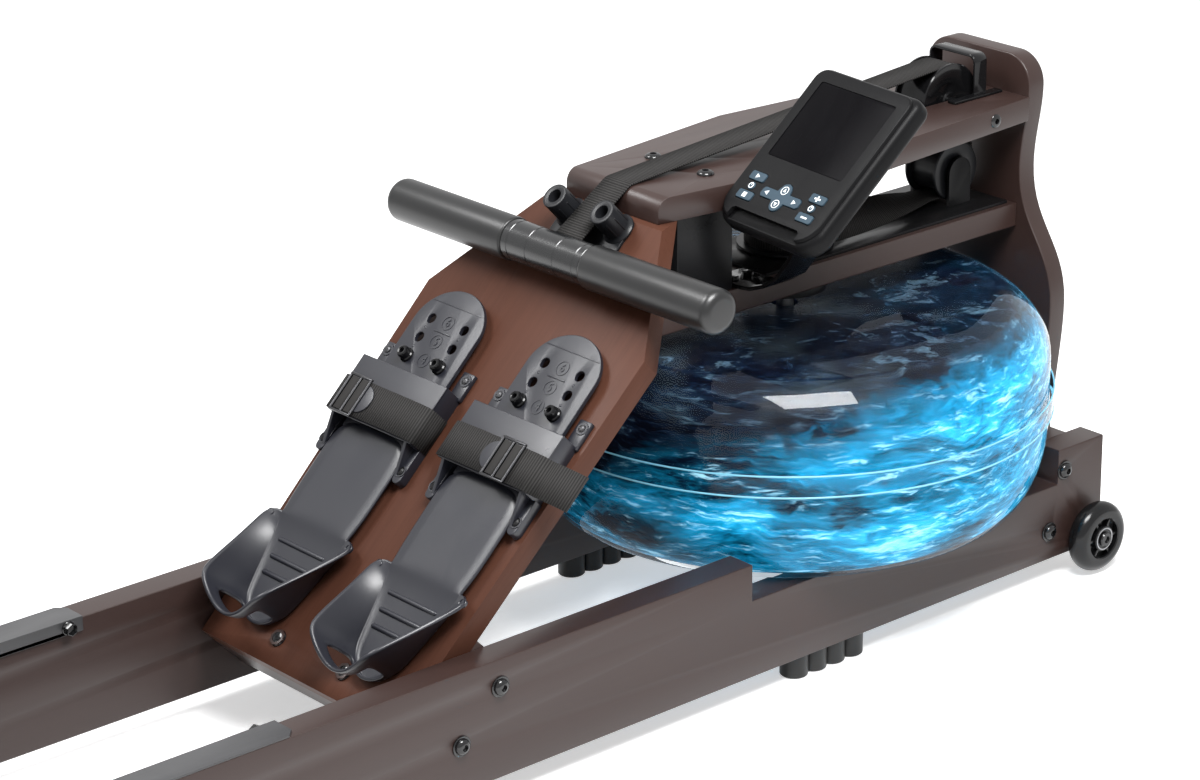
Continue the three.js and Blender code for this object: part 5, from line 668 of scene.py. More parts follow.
def put(
    name, shape, finishes, body, at=MACHINE, stands_for=(), edge=0.0, sharp=35, thick=0.0, smooth=0, slot=None
):
    """Makes a shape drawn in millimetres into a piece that rides on a body."""
    shape.transform(at)
    made = into_scene(name, mesh_of(name, shape))
    finishes = finishes if isinstance(finishes, list) else [finishes]
    for finish in finishes:
        made.data.materials.append(finish)
    made.data.shade_smooth()
    if thick:
        wall = made.modifiers.new("wall", "SOLIDIFY")
        wall.thickness = thick * MM
        wall.offset = 0
        wall.use_even_offset = True
    if smooth:
        rounded = made.modifiers.new("smooth", "SUBSURF")
        rounded.levels = rounded.render_levels = smooth
    if edge:
        softer = made.modifiers.new("edges", "BEVEL")
        softer.width = edge * MM
        softer.segments = 2
        softer.limit_method = "ANGLE"
        softer.angle_limit = radians(30)
        softer.harden_normals = True
    elif not smooth:
        made.data.set_sharp_from_angle(angle=radians(sharp))
    if body:
        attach(made, body)
    if stands_for:
        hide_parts(*stands_for)
    first = own_name(finishes[0])
    slot = slot or SLOT_OF.get(first, first)
    return made


def softened(name, node, finish, edge=1.2, drop=None, body="frame", slot=None):
    """A copy of a frame solid with its edges eased. Drop picks the faces that other pieces stand for."""
    shape = bmesh.new()
    shape.from_mesh(nodes[node].data)
    bmesh.ops.remove_doubles(shape, verts=shape.verts, dist=0.00002)
    if drop:
        gone = [face for face in shape.faces if drop(face.calc_center_median() / MM)]
        bmesh.ops.delete(shape, geom=gone, context="FACES")
    bmesh.ops.dissolve_limit(shape, angle_limit=radians(1), verts=shape.verts, edges=shape.edges)
    return put(name, shape, finish, body, Matrix(), [node], edge, slot=slot)


# Fasteners, each standing on the XY plane of its frame
def button_screw(radius, height, washer=0.0):
    """A button head with a round socket, on a washer where it has one."""
    lift = 1.5 if washer else 0.0
    top = lift + height
    profile = [
        (0, top - 2.4), (radius * 0.36, top - 2.4), (radius * 0.4, top), (radius * 0.62, top - 0.3),
        (radius * 0.88, lift + height * 0.62), (radius, lift + height * 0.2), (radius, lift), (0, lift)
    ]
    parts = [spun(profile, 28)]
    if washer:
        parts.append(spun([(0, 0), (washer, 0), (washer, 1.1), (washer - 0.5, 1.5), (0, 1.5)], 32))
    return gather(*parts)


def cross_screw(radius, height):
    """A pan head with a cross recess; the recess is the second finish."""
    profile = [(0, height), (radius * 0.55, height * 0.96), (radius * 0.9, height * 0.6)]
    head = spun(profile + [(radius, height * 0.15), (radius, 0), (0, 0)], 24)
    reach, narrow = (-radius * 0.6, radius * 0.6), (-radius * 0.13, radius * 0.13)
    depth = (height * 0.5, height * 1.03)
    return gather(head, tinted(cuboid(reach, narrow, depth), 1), tinted(cuboid(narrow, reach, depth), 1))


def stop_bolt():
    """A hexagon head on a round flange, with a socket in it."""
    flange = spun([(0, 0), (6.9, 0), (6.9, 1.2), (6.2, 1.8), (0, 1.8)], 36)
    head = bmesh.new()
    bmesh.ops.create_cone(head, cap_ends=True, segments=6, radius1=6.4, radius2=6.4, depth=6.6)
    moved(head, z=4.8)
    top = max(head.faces, key=lambda face: face.calc_center_median().z)
    bmesh.ops.bevel(
        head, geom=list(top.edges), offset=0.8, segments=2, profile=0.5, affect="EDGES", material=-1
    )
    top = max(head.faces, key=lambda face: face.calc_center_median().z)
    bmesh.ops.inset_region(head, faces=[top], thickness=1.6, depth=0)
    bmesh.ops.translate(head, vec=(0, 0, -3.5), verts=[vert for vert in top.verts])
    return gather(flange, head)


# Timber, tracks and their bolts
def beyond_rail(place):
    return abs(place.y) > RAIL_OUTER + 0.2


def at_stop_bolt(place):
    return abs(place.y) < LIP_FACE - 0.5


for sign, side in SIDES:
    softened(f"{side}_rail_plank", f"{side}_rail", WOOD_ALONG, 1.6)
    softened(f"{side}_track_angle", f"{side}_track", TRACK_STEEL, 0.8, at_stop_bolt)
    bolt = moved(stop_bolt(), STOP_PLACE[0], sign * LIP_FACE, STOP_PLACE[1], TOWARDS_SIDE[-sign])
    put(f"{side}_stop_bolt", bolt, BOLT_BLACK, "frame")
softened("foot_board_plank", "foot_board", WOOD_SLOPE, 1.6)
softened("top_board_plank", "top_board", WOOD_ALONG, 1.8)
softened("lower_board_plank", "lower_board", WOOD_ALONG, 1.6)
for place in ("front", "foot", "rear"):
    softened(f"{place}_beam_block", f"{place}_beam", WOOD_ACROSS, 1.2, beyond_rail)


def curve_points(start, pull_a, pull_b, end, steps=14):
    """Points along one cubic curve, without its last."""
    places = []
    for i in range(steps):
        t = i / steps
        weights = ((1 - t) ** 3, 3 * t * (1 - t) ** 2, 3 * t * t * (1 - t), t**3)
        ends = (start, pull_a, pull_b, end)
        places.append(tuple(sum(w * point[k] for w, point in zip(weights, ends)) for k in range(2)))
    return places


def front_panel():
    """The end panel's outline, up one side, over the head and down the other."""
    foot, belly, waist, head = (97, 60), (112.5, 270), (63, 412), (73, 500)
    side = curve_points(foot, (97, 165), (112.5, 215.4), belly)
    side += curve_points(belly, (112.5, 335.3), (63, 345.3), waist)
    side += curve_points(waist, (63, 444.6), (73, 470.1), head)
    half = side + arc(41, 500, 32, 0, 90, 12)
    outline = half + [(-y, z) for y, z in reversed(half)]
    shape = flat_plate([outline], PANEL_REAR, PANEL_REAR + 23, 2.0, 3)
    turn = Matrix(((0, 0, 1, 0), (1, 0, 0, 0), (0, 1, 0, 0), (0, 0, 0, 1)))
    return moved(shape, turn=turn)


put("front_panel_plank", front_panel(), WOOD_UPRIGHT, "frame", stands_for=["front_panel"], sharp=40)

RAIL_BOLTS = [(975.5, 120), (954.5, 56), (161.0, 71.6), (208.2, 116.8), (-990, 84)]
for index, (x, z) in enumerate(RAIL_BOLTS):
    for sign, side in SIDES:
        head = moved(button_screw(8.2, 4.6, 10.4), x, sign * (RAIL_OUTER + 0.1), z, TOWARDS_SIDE[sign])
        put(f"{side}_rail_bolt_{index}", head, BOLT_BLACK, "frame")
for sign, side in SIDES:
    head = moved(button_screw(7.2, 2.4), turn=TOWARDS_SIDE[sign] @ rotation(sign * 5.3, "Y"))
    put(f"{side}_edge_bolt", moved(head, 970, sign * 78.6, 477), BOLT_BLACK, "frame")
for sign, side in SIDES:
    head = moved(cross_screw(8.8, 3.4), 27, sign * 51, 0.1)
    put(f"{side}_board_screw", head, [BOLT_BLACK, BLACK_STEEL], "frame", BOARD)
for sign, side in SIDES:
    head = moved(button_screw(8.7, 3.9), 600.5, sign * 38, TOP_BOARD_TOP + 0.1)
    put(f"{side}_nose_screw", head, BOLT_BLACK, "frame")


# Rubber feet
def lobed_foot(y):
    lobe = [(0, 0), (13.2, 0), (14.5, 1.3), (14.5, 24), (0, 24)]
    lobes = [moved(spun(lobe, 32), 599.5 + i * 25.5, y) for i in range(4)]
    return gather(cuboid((599.5, 676), (y - 7, y + 7), (0.8, 24), 0.4), *lobes)


for sign, side in SIDES:
    put(f"{side}_foot_block", lobed_foot(sign * 169), RUBBER, "frame", stands_for=[f"{side}_front_foot"])
softened("rear_foot_bar", "rear_foot", RUBBER, 1.5)


# Tank
def corner(inset, low):
    """The quarter curve of the tank's section at its low or high corner."""
    wide, tall, first = (48, 92, -90) if low else (86, 66, 0)
    middle = (TANK_RADIUS - wide, TANK_FLOOR + tall if low else TANK_TOP - tall)
    turns = [radians(first + 90 * i / 14) for i in range(15)]
    return [(middle[0] + (wide - inset) * cos(t), middle[1] + (tall - inset) * sin(t)) for t in turns]


def lined(shell):
    """Gives a shell's inner faces, and those of the weld, their own finish."""
    shell.normal_update()
    for face in shell.faces:
        middle = face.calc_center_median()
        outward = (middle - Vector((0, 0, SEAM_Z))).dot(face.normal)
        if outward < 0 or all(abs(vert.co.z - SEAM_Z) < 0.01 for vert in face.verts):
            face.material_index = 1
    return shell


def lower_shell():
    inner = [(TANK_RADIUS - TANK_WALL, SEAM_Z)] + corner(TANK_WALL, True)[::-1]
    floor = TANK_FLOOR + TANK_WALL
    outline = [(0, TANK_FLOOR)] + corner(0, True) + [(TANK_RADIUS, SEAM_Z)] + inner
    return lined(spun(outline + [(16, floor), (16, floor + 5), (0, floor + 5)], 96))


def upper_shell():
    outer = [(TANK_RADIUS, SEAM_Z)] + corner(0, False) + [(14, TANK_TOP)]
    inner = [(14, TANK_TOP - TANK_WALL)] + corner(TANK_WALL, False)[::-1]
    inner.append((TANK_RADIUS - TANK_WALL, SEAM_Z))
    shell = spun(outer + inner, 96, True)
    hole = [(0, TANK_TOP - 20), (17.3, TANK_TOP - 20), (17.3, TANK_TOP + 10), (0, TANK_TOP + 10)]
    return lined(carved(shell, moved(spun(hole, 32), *FILLER_PLACE)))


def seam_ring():
    """A clear hoop over the seam, with a fine pale lip along each edge; the lips are real ridges, and their
    pale cyan is a painted highlight of light caught in the band's edges.
    """
    inner = TANK_RADIUS + 0.3
    outer = inner + 4.4
    low, high = SEAM_Z - 11, SEAM_Z + 11
    hoop = spun([(inner, low), (outer, low), (outer, high), (inner, high)], 96, True)
    for face in hoop.faces:
        if face.calc_center_median().xy.dot(face.normal.xy) < 0:
            face.material_index = 2
    lips = [spun(arc(outer - 0.2, height, 0.9, 0, 330, 11), 96, True) for height in (low, high)]
    return gather(hoop, *[tinted(lip, 1) for lip in lips])


def water_body():
    gap = TANK_WALL + 0.3
    top = 316
    upper = [place for place in corner(gap, False) if place[1] < top - 1]
    rim = upper[-1][0] - 5
    outline = [(126, TANK_FLOOR + gap)] + corner(gap, True) + [(TANK_RADIUS - gap, SEAM_Z)] + upper
    outline += [(rim, top - 0.3), (rim - 6, top), (150, top), (90, top - 1.5), (40, top - 4), (14, top - 6)]
    return spun(outline + [(14, 188.4), (126, 188.4)], 96, True)


TANK = shifted(MACHINE, TANK_X, 0, 0)
put("tank_lower_bowl", lower_shell(), [CLEAR, SHELL_INSIDE], "frame", TANK, ["tank_lower_shell"], sharp=60)
put("tank_upper_dome", upper_shell(), [CLEAR, SHELL_INSIDE], "frame", TANK, ["tank_upper_shell"], sharp=60)
put(
    "tank_seam_ring", seam_ring(), [CLEAR, SEAM_LIP_HIGHLIGHT, SHELL_INSIDE], "frame", TANK, ["tank_seam_band"],
    sharp=60
)
put("stirred_water", water_body(), WATER, "frame", TANK, ["water"], sharp=50)


def paddle_wheel():
    shaft = spun([(0, 116.3), (9, 116.3), (9, 331), (0, 331)], 32)
    head = [(0, 330.5), (9, 330.5), (9, 439.9), (15, 439.9), (15, 445), (14, 445.9), (0, 445.9)]
    hub = spun([(8, 125), (20, 125), (22, 127), (22, 179), (20, 181), (8, 181)], 40)
    blades = [
        moved(cuboid((18, 118), (-2, 2), (125, 181), 1.2, 2), turn=rotation(30 + 60 * i)) for i in range(6)
    ]
    return gather(shaft, tinted(spun(head, 32), 1), hub, *blades)


put("paddle_wheel", paddle_wheel(), [BRIGHT_STEEL, BLACK_STEEL], "impeller", TANK, ["impeller"])


def plug():
    """The filler cap: a stem, a ribbed rim and a bar to turn it by."""
    ribs = [
        moved(cuboid((23.2, 24), (-1, 1), (331.8, 336.6), 0.3, 1), turn=rotation(15 * i)) for i in range(24)
    ]
    cap = [
        (0, 319), (16.2, 319), (17, 320), (17, 331.3), (23.4, 331.3), (23.4, 336.2), (22.4, 337.2),
        (18, 337.2), (16.5, 336), (0, 336)
    ]
    return gather(spun(cap, 48), cuboid((-15, 15), (-3, 3), (336, 337.3), 0.6, 2), *ribs)


HOUSING = [(9.3, 331), (42, 331), (42, 341), (40, 344), (24, 344), (20, 348), (20, 376.3), (9.3, 376.3)]
put("shaft_housing", spun(HOUSING, 48, True), BLACK_PLASTIC, "frame", TANK, ["bearing_housing"])
put("filler_cap", plug(), RUBBER, "filler_plug", shifted(TANK, *FILLER_PLACE, 0), ["filler_plug"])


# Strap drive
def strap_pulley(groove, flange, x, z):
    """A flanged pulley whose web is sunk on both sides, lying across the machine."""
    half, bore = 21.9, 5.3
    inner = half - 3
    web = flange - 12
    profile = [
        (bore, -half), (9, -half), (10, -half + 2), (
            web - 9, -half + 2
        ), (web - 6, -half), (flange - 1, -half),
        (flange, -half + 1), (flange, -inner + 0.2), (groove, -inner), (groove + 0.4, 0), (groove, inner),
        (flange, inner - 0.2), (flange, half - 1), (flange - 1, half), (web - 6, half), (web - 9, half - 2),
        (10, half - 2), (9, half), (bore, half),
    ]
    return moved(spun(profile, 64, True), x, 0, z, LYING)


top_pulley = strap_pulley(TOP_GROOVE, 40, *TOP_PULLEY)
put("top_strap_pulley", top_pulley, GLOSS_BLACK, "top_pulley", stands_for=["top_pulley"])
guide_pulley = strap_pulley(GUIDE_GROOVE, 32, *GUIDE_PULLEY)
put("guide_strap_pulley", guide_pulley, BLACK_PLASTIC, "guide_pulley", stands_for=["guide_pulley"])

# The strap's drum and the cord's spool above it
DRUM = [
    (9.3, 376.6), (49, 376.6), (50, 377.6), (50, 379.6), (DRUM_CORE, 379.8), (DRUM_CORE, 419.4), (50, 419.6),
    (50, 421.6), (49, 422.6), (20, 422.6), (20, 436.6), (27, 436.8), (27, 438.8), (26, 439.6), (9.3, 439.6)
]
put("strap_drum", spun(DRUM, 64, True), BLACK_PLASTIC, "drum", TANK, ["drive_drum"])
softened("pulley_strips", "top_pulley_bracket", GLOSS_BLACK, 0.8)
softened("pulley_base_plate", "pulley_base", BLACK_STEEL, 0.7)
softened("nose_channel", "nose_bracket", BLACK_STEEL, 0.8, lambda place: place.z > TOP_BOARD_TOP + 0.2)

RECOIL_WHEEL = [
    (6.3, 421.6), (31, 421.6), (32, 422.4), (32, 424.6), (26.5, 425), (25.6, CORD_HEIGHT), (26.5, 434.2),
    (32, 434.6), (32, 436.8), (31, 437.6), (6.3, 437.6)
]
recoil_at = shifted(MACHINE, *RECOIL_PULLEY, 0)
put(
    "recoil_wheel", spun(RECOIL_WHEEL, 56, True), BLACK_PLASTIC, "recoil_pulley", recoil_at, ["recoil_pulley"]
)


def cord_path():
    """The recoil cord, all at one height: round the spool, back round its pulley and forward to the post."""
    places = arc(TANK_X, 0, 24.3, 162, -90, 26) + arc(*RECOIL_PULLEY, 30.3, -90, -270, 24) + [(850.7, 36.3)]
    return [Vector((x, y, CORD_HEIGHT)) for x, y in places]


def tube(places, radius, sides=10):
    """A round tube through places, drawn by pulling a ring along them."""
    shape = bmesh.new()
    run = shape.loops.layers.uv.new("run")
    rings = []
    for i, place in enumerate(places):
        along = (places[min(i + 1, len(places) - 1)] - places[max(i - 1, 0)]).normalized()
        side = along.cross(Vector((0, 0, 1))).normalized()
        turn = Matrix((side, along.cross(side), along)).transposed().to_4x4()
        made = bmesh.ops.create_circle(
            shape, segments=sides, radius=radius, matrix=Matrix.Translation(place) @ turn
        )
        rings.append(list({edge for vert in made["verts"] for edge in vert.link_edges}))
    for first, second in zip(rings, rings[1:]):
        bmesh.ops.bridge_loops(shape, edges=first + second)
    for ring in (rings[0], rings[-1]):
        bmesh.ops.holes_fill(shape, edges=ring, sides=0)
    bmesh.ops.recalc_face_normals(shape, faces=shape.faces)
    for face in shape.faces:
        for corner_loop in face.loops:
            spot = corner_loop.vert.co
            corner_loop[run].uv = (spot.x * MM, (spot.y + spot.z) * MM)
    return shape


put("recoil_line", tube(cord_path(), 4), FOOT_WEB, "frame", stands_for=["recoil_cord"], sharp=60)

STRAP_HALF = Vector((0, 18, 0))
STRAP_LIFT = 1.6
NOSE_CENTRE = (NOSE_X + NOSE_ROUND, TOP_BOARD_TOP - NOSE_ROUND)
HANDLE_PLACE = BOARD @ Vector((HANDLE_S, 0, HANDLE_LIFT)) / MM


def nose_touch():
    """The direction from the nose's centre to where the strap from the handle first touches it."""
    dx, dz = HANDLE_PLACE.x - NOSE_CENTRE[0], HANDLE_PLACE.z - NOSE_CENTRE[1]
    away = atan2(dz, dx) + 2 * pi
    return degrees(away - acos((NOSE_ROUND + STRAP_LIFT) / hypot(dx, dz)))


def top_touch():
    """The common direction in which the strap touches the nose and the top pulley."""
    dx, dz = TOP_PULLEY[0] - NOSE_CENTRE[0], TOP_PULLEY[1] - NOSE_CENTRE[1]
    return degrees(atan2(dz, dx) + acos((NOSE_ROUND - TOP_GROOVE) / hypot(dx, dz)))


def drive_strap():
    """Over the nose and both pulleys in the middle plane, then with a quarter turn back to the drum."""
    side_view = arc(*NOSE_CENTRE, NOSE_ROUND + STRAP_LIFT, nose_touch() + 0.5, top_touch(), 16)
    side_view += arc(*TOP_PULLEY, TOP_GROOVE + STRAP_LIFT, top_touch(), 0, 18)
    side_view += arc(*GUIDE_PULLEY, GUIDE_GROOVE + STRAP_LIFT, 0, -90, 14)
    path = [(Vector((x, 0, z)), STRAP_HALF) for x, z in side_view]
    start = Vector((GUIDE_PULLEY[0] - 34, 0, 383.4))
    reach = DRUM_CORE + STRAP_LIFT
    touch = -degrees(acos(reach / (start.x - TANK_X)))
    height = 399.6
    end = Vector((TANK_X + reach * cos(radians(touch)), reach * sin(radians(touch)), height))
    for i in range(24):
        turn = i / 24 * pi / 2
        path.append((start.lerp(end, i / 24), Vector((0, cos(turn), sin(turn))) * 18))
    wound = arc(TANK_X, 0, reach, touch, touch - 252, 44)
    return banded(path + [(Vector((x, y, height)), Vector((0, 0, 18))) for x, y in wound])


put("drive_strap_run", drive_strap(), STRAP_WEB, "frame", stands_for=["drive_strap"], thick=2.0, sharp=60)


def handle_strap():
    """The part from the handle to the nose, with its two ends."""
    turn = radians(nose_touch())
    radius = NOSE_ROUND + STRAP_LIFT
    touch = Vector((NOSE_CENTRE[0] + cos(turn) * radius, 0, NOSE_CENTRE[1] + sin(turn) * radius))
    along = (touch - HANDLE_PLACE).normalized()
    start = HANDLE_PLACE + along * 20.8
    return banded([(start.lerp(touch, i / 12), STRAP_HALF) for i in range(13)]), start, touch


strap_shape, strap_start, strap_end = handle_strap()
handle_strap_piece = put(
    "handle_strap_run", strap_shape, STRAP_WEB, None, stands_for=["handle_strap"], thick=2.0, sharp=60
)
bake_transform(handle_strap_piece)


# Handle
def handle_middle():
    """The sleeve on the rod, with a fine ring round it near each end and the strap's clamp in its middle."""
    half = 57
    profile = [(0, -230), (11, -230), (11, -half), (19.6, -half), (20.5, -half + 1)]
    for ring in (-48, -20, 20, 48):
        profile += [(20.5, ring - 1), (19.9, ring - 0.4), (19.9, ring + 0.4), (20.5, ring + 1)]
    profile += [(20.5, half - 1), (19.6, half), (11, half), (11, 230), (0, 230)]
    return moved(spun(profile, 56), HANDLE_S, 0, HANDLE_LIFT, LYING)


def grip(side):
    """A foam grip: a soft rounded end, and a slightly drawn in mouth beside the sleeve."""
    profile = [(11.3, 57.3), (20.6, 57.3), (21.7, 58.4), (22, 60.5), (22, 226)]
    profile += arc(13, 227, 9, 0, 90, 8) + [(0, 236.0)]
    return moved(spun(profile, 56), HANDLE_S, 0, HANDLE_LIFT, TOWARDS_SIDE[side])


put("handle_sleeve", handle_middle(), SLEEVE_PLASTIC, "handle", BOARD, ["handle_core"])
for sign, side in SIDES:
    put(f"{side}_foam_grip", grip(sign), FOAM, "handle", BOARD, [f"{side}_grip"], sharp=60)


def rest_pegs():
    """The plate that the handle rests on, with two ribbed hollow pegs and two screws."""
    peg = [
        (6.5, 3), (17, 3), (16.8, 4.4), (14.4, 6.4), (13.5, 9), (13.5, 33), (13.1, 34.1), (12.2, 34.5),
        (10.6, 34.3), (8.6, 34.3), (7.4, 34), (6.6, 32), (6.5, 3)
    ]
    parts = [flat_plate([rounded_box(39.5, 48.5, 8, 501.5, 0)], 0.1, 3.7, 0.8, 3)]
    for y in (-34.4, 34.4):
        parts.append(moved(spun(peg, 48), PEG_S, y))
        for turn in range(0, 360, 45):
            parts.append(
                moved(cuboid((12.6, 13.9), (-0.7, 0.7), (6, 28), 0.3, 1), PEG_S, y, 0, rotation(turn))
            )
        parts.append(moved(cross_screw(4.4, 1.4), 500, y, 3.6))
    return gather(*parts)


put("handle_rest_plate", rest_pegs(), [BLACK_PLASTIC, BLACK_STEEL], "frame", BOARD, ["handle_rest"])


# Footrests
def foot_bridge():
    """The deck over the foot plate, on two walls with gussets, legs and tabs that are screwed down."""
    deck = flat_plate([[(246, -64.5), (311, -64.5), (311, 64.5), (246, 64.5)]], 22.2, 25, 0.9, 3)
    bmesh.ops.bisect_plane(
        deck, geom=deck.verts[:] + deck.edges[:] + deck.faces[:], plane_co=(288, 0, 0), plane_no=(1, 0, 0)
    )
    parts = [deck]
    for sign in (-1, 1):
        wall = cuboid((246, 311), sorted((sign * 54.5, sign * 64.5)), (0.1, 24.4), 1.0, 2)
        gusset = flat_plate(
            [[(214, 11), (247, 11), (247, 24.6)]], *sorted((sign * 54.5, sign * 58.5)), 0.5, 2
        )
        gusset = moved(gusset, turn=Matrix(((1, 0, 0, 0), (0, 0, 1, 0), (0, 1, 0, 0), (0, 0, 0, 1))))
        bmesh.ops.recalc_face_normals(gusset, faces=gusset.faces)
        outline = [(247, sign * 66)] + [(x, sign * y) for x, y in arc(213.9, 60.1, 5.9, 90, 270, 10)]
        outline.append((247, sign * 54.8))
        leg = flat_plate([outline[::sign]], 0.1, 11, 0.8, 2)
        tab = cuboid((308, 338), sorted((sign * 50, sign * 67)), (0.1, 5), 1.2, 2)
        pad = moved(spun([(0, 4.5), (7, 4.5), (6.4, 6), (0, 6)], 24), 329, sign * 60)
        recess = spun([(0, 10.6), (6.2, 10.6), (6.2, 11.8), (5, 11.8), (4.6, 11.0), (0, 11.0)], 24)
        recess = moved(recess, 221, sign * 60)
        bright = tinted(moved(cross_screw(4.0, 1.6), 329, sign * 60, 5.9), 1)
        dark = tinted(moved(cross_screw(4.2, 1.4), 221, sign * 60, 11.0), 2)
        parts += [wall, gusset, leg, tab, pad, recess, bright, dark]
    return gather(*parts)


# Each station of the cup's wall: a place on its rim and one on its foot, from the ear to the heel
CUP_STATIONS = [
    ((138, 57, 11.8), (138, 50.5, 10.4)),
    ((132, 69, 14.5), (130, 50, 8.2)),
    ((110, 63, 25.5), (112, 45.5, 6.6)),
    ((80, 55, 42), (84, 40, 6.2)),
    ((54, 48.2, 56.5), (58, 34.5, 6)),
    ((43, 44, 60.5), (48, 30, 6)),
    ((35, 37, 59), (41, 24, 6)),
    ((26, 26.5, 53), (35, 17, 6)),
    ((19.5, 14, 48), (31, 9, 6)),
    ((16.8, 0, 46), (29.5, 0, 6)),
]
SOLE_ROWS = ((160, 9.6), (205, 9.9), (250, 10.2))
WINDOW_START = 6
WALL_LEVELS = (0.0, 0.09, 0.36, 0.7, 1.0)
SOLE_HALF = 53.6


def heel_cup():
    """A thin cup: half a wall pulled up from its foot line, and a sole pulled in and forward."""
    shape = bmesh.new()
    crease = shape.edges.layers.float.new("crease_edge")
    feet = [shape.verts.new(foot) for rim, foot in CUP_STATIONS]
    foot_line = rising = [shape.edges.new(pair) for pair in zip(feet, feet[1:])]
    station = {vert: index for index, vert in enumerate(feet)}
    level = {vert: 0 for vert in feet}
    for count, share in enumerate(WALL_LEVELS[1:], 1):
        grown = bmesh.ops.extrude_edge_only(shape, edges=rising)["geom"]
        for vert in only(VERT, grown):
            below = next(
                other for edge in vert.link_edges for other in edge.verts if level.get(other) == count - 1
            )
            station[vert], level[vert] = station[below], count
            rim, foot = CUP_STATIONS[station[vert]]
            vert.co = Vector(foot).lerp(Vector(rim), share)
        rising = [edge for edge in only(EDGE, grown) if all(level.get(vert) == count for vert in edge.verts)]
    for edge in rising:
        edge[crease] = 0.5
    for edge in foot_line:
        edge[crease] = 0.75
    window = [face for face in shape.faces if min(station[vert] for vert in face.verts) >= WINDOW_START]
    window = [face for face in window if {level[vert] for vert in face.verts} <= {1, 2, 3}]
    bmesh.ops.delete(shape, geom=window, context="FACES")
    grown = bmesh.ops.extrude_edge_only(shape, edges=foot_line)["geom"]
    inner = only(VERT, grown)
    for vert in inner:
        if vert.co.x >= 31:
            vert.co = Vector((vert.co.x + 1.5, 0, vert.co.z - 0.3))
    bmesh.ops.remove_doubles(shape, verts=inner + feet, dist=0.01)
    start = Vector(CUP_STATIONS[0][1])
    front = [
        edge for edge in shape.edges if edge.is_boundary and min(vert.co.y for vert in edge.verts) < 0.01
    ]
    front = [edge for edge in front if any((vert.co - start).length < 0.01 for vert in edge.verts)]
    for s, lift in SOLE_ROWS:
        grown = bmesh.ops.extrude_edge_only(shape, edges=front)["geom"]
        for vert in only(VERT, grown):
            vert.co = Vector((s, SOLE_HALF if vert.co.y > 1 else 0, lift))
        front = [edge for edge in only(EDGE, grown) if all(abs(vert.co.x - s) < 0.01 for vert in edge.verts)]
    bmesh.ops.mirror(shape, geom=shape.verts[:] + shape.edges[:] + shape.faces[:], axis="Y", merge_dist=0.01)
    bmesh.ops.remove_doubles(shape, verts=shape.verts, dist=0.01)
    for edge in shape.edges:
        if edge.is_boundary:
            edge[crease] = max(edge[crease], 0.5)
    bmesh.ops.recalc_face_normals(shape, faces=shape.faces)
    return shape


def cup_ribs():
    """Three ridges across the sole, and a small ring on each ear."""
    parts = []
    for s, half in ((112, 36), (94, 33), (77, 30)):
        turns = [pi / 2 * i / 4 for i in range(5)]
        lower_end = [(2.8 * sin(t), -half + 2.8 - 2.8 * cos(t)) for t in turns]
        upper_end = [(2.8 * cos(t), half - 2.8 + 2.8 * sin(t)) for t in turns]
        parts.append(moved(spun(lower_end + upper_end, 16), s, 0, 7.6, LYING))
    for sign in (-1, 1):
        ring = spun([(3.0, 12.0), (4.4, 12.0), (4.4, 14.6), (3.9, 15.0), (3.4, 14.6)], 20, True)
        parts.append(moved(ring, 131, sign * 62))
    return gather(*parts)


def foot_plate():
    """The upper plate with its holes, raised digits, pips and pins."""
    turns = [pi * i / 24 for i in range(1, 24)]
    outline = [(240, -48), (369, -48)] + [(369 + 42 * sin(t), -48 * cos(t)) for t in turns]
    outline += [(369, 48), (240, 48)]
    holes = [list(reversed(arc(s, y, 5.4, 0, 345, 23))) for s in (351.5, 373.5) for y in (-25, 25)]
    parts = [flat_plate([outline] + holes, 7.1, 11.8, 0.7, 3)]
    for digit, s in (("6", 374.5), ("5", 352.5), ("4", 330.5)):
        parts.append(lettered(digit, 12.5, 0.9, s, 0, 11.6, -90))
        parts.append(moved(spun([(7.0, 11.6), (7.9, 11.6), (7.7, 12.3), (7.2, 12.3)], 32, True), s, 0))
    for s in (362.5, 340.5):
        for y in (-25, 25):
            parts.append(moved(spun([(0, 12.3), (1.3, 12.2), (2, 11.7), (0, 11.7)], 12), s, y))
    parts.append(cuboid((362.4, 363.8), (-12, 12), (11.6, 12.6), 0.4, 2))
    parts.append(cuboid((392, 393.2), (-38, 38), (11.6, 12.1), 0.3, 2))
    for y in (-25, 25):
        pin = [
            (0, 17.5), (2.6, 17.5), (3, 21.4), (4.4, 21.8), (5.6, 21.2), (6.5, 19.4), (6.5, 15), (7.6, 14),
            (7.8, 11.7), (0, 11.7)
        ]
        parts.append(tinted(moved(spun(pin, 28), 329.5, y), 1))
    return gather(*parts)


def foot_strap(side):
    """The strap over the bridge, softly waved; the near one's free end hangs past the board's edge."""
    run = [
        (66.3, 2), (66.3, 12), (66.2, 22), (65.2, 26.4), (61.5, 28.0), (54, 28.6), (44, 28.8), (32, 29.8),
        (20, 30.1), (8, 29.6), (-4, 29.9), (-16, 30.2), (-28, 30.0), (-44, 29.0), (-56, 28.4), (-62, 27.6)
    ]
    if side > 0:
        run += [(-65.4, 26.2), (-66.2, 22), (-66.3, 12), (-66.3, 2)]
    else:
        run += [(-66, 25.5), (-72, 23), (-82, 23.5), (-93, 21.5), (-104, 20.5), (-115, 18)]
    return banded([(Vector((FOOT_STRAP_S, y, lift)), Vector((19, 0, 0))) for y, lift in run])


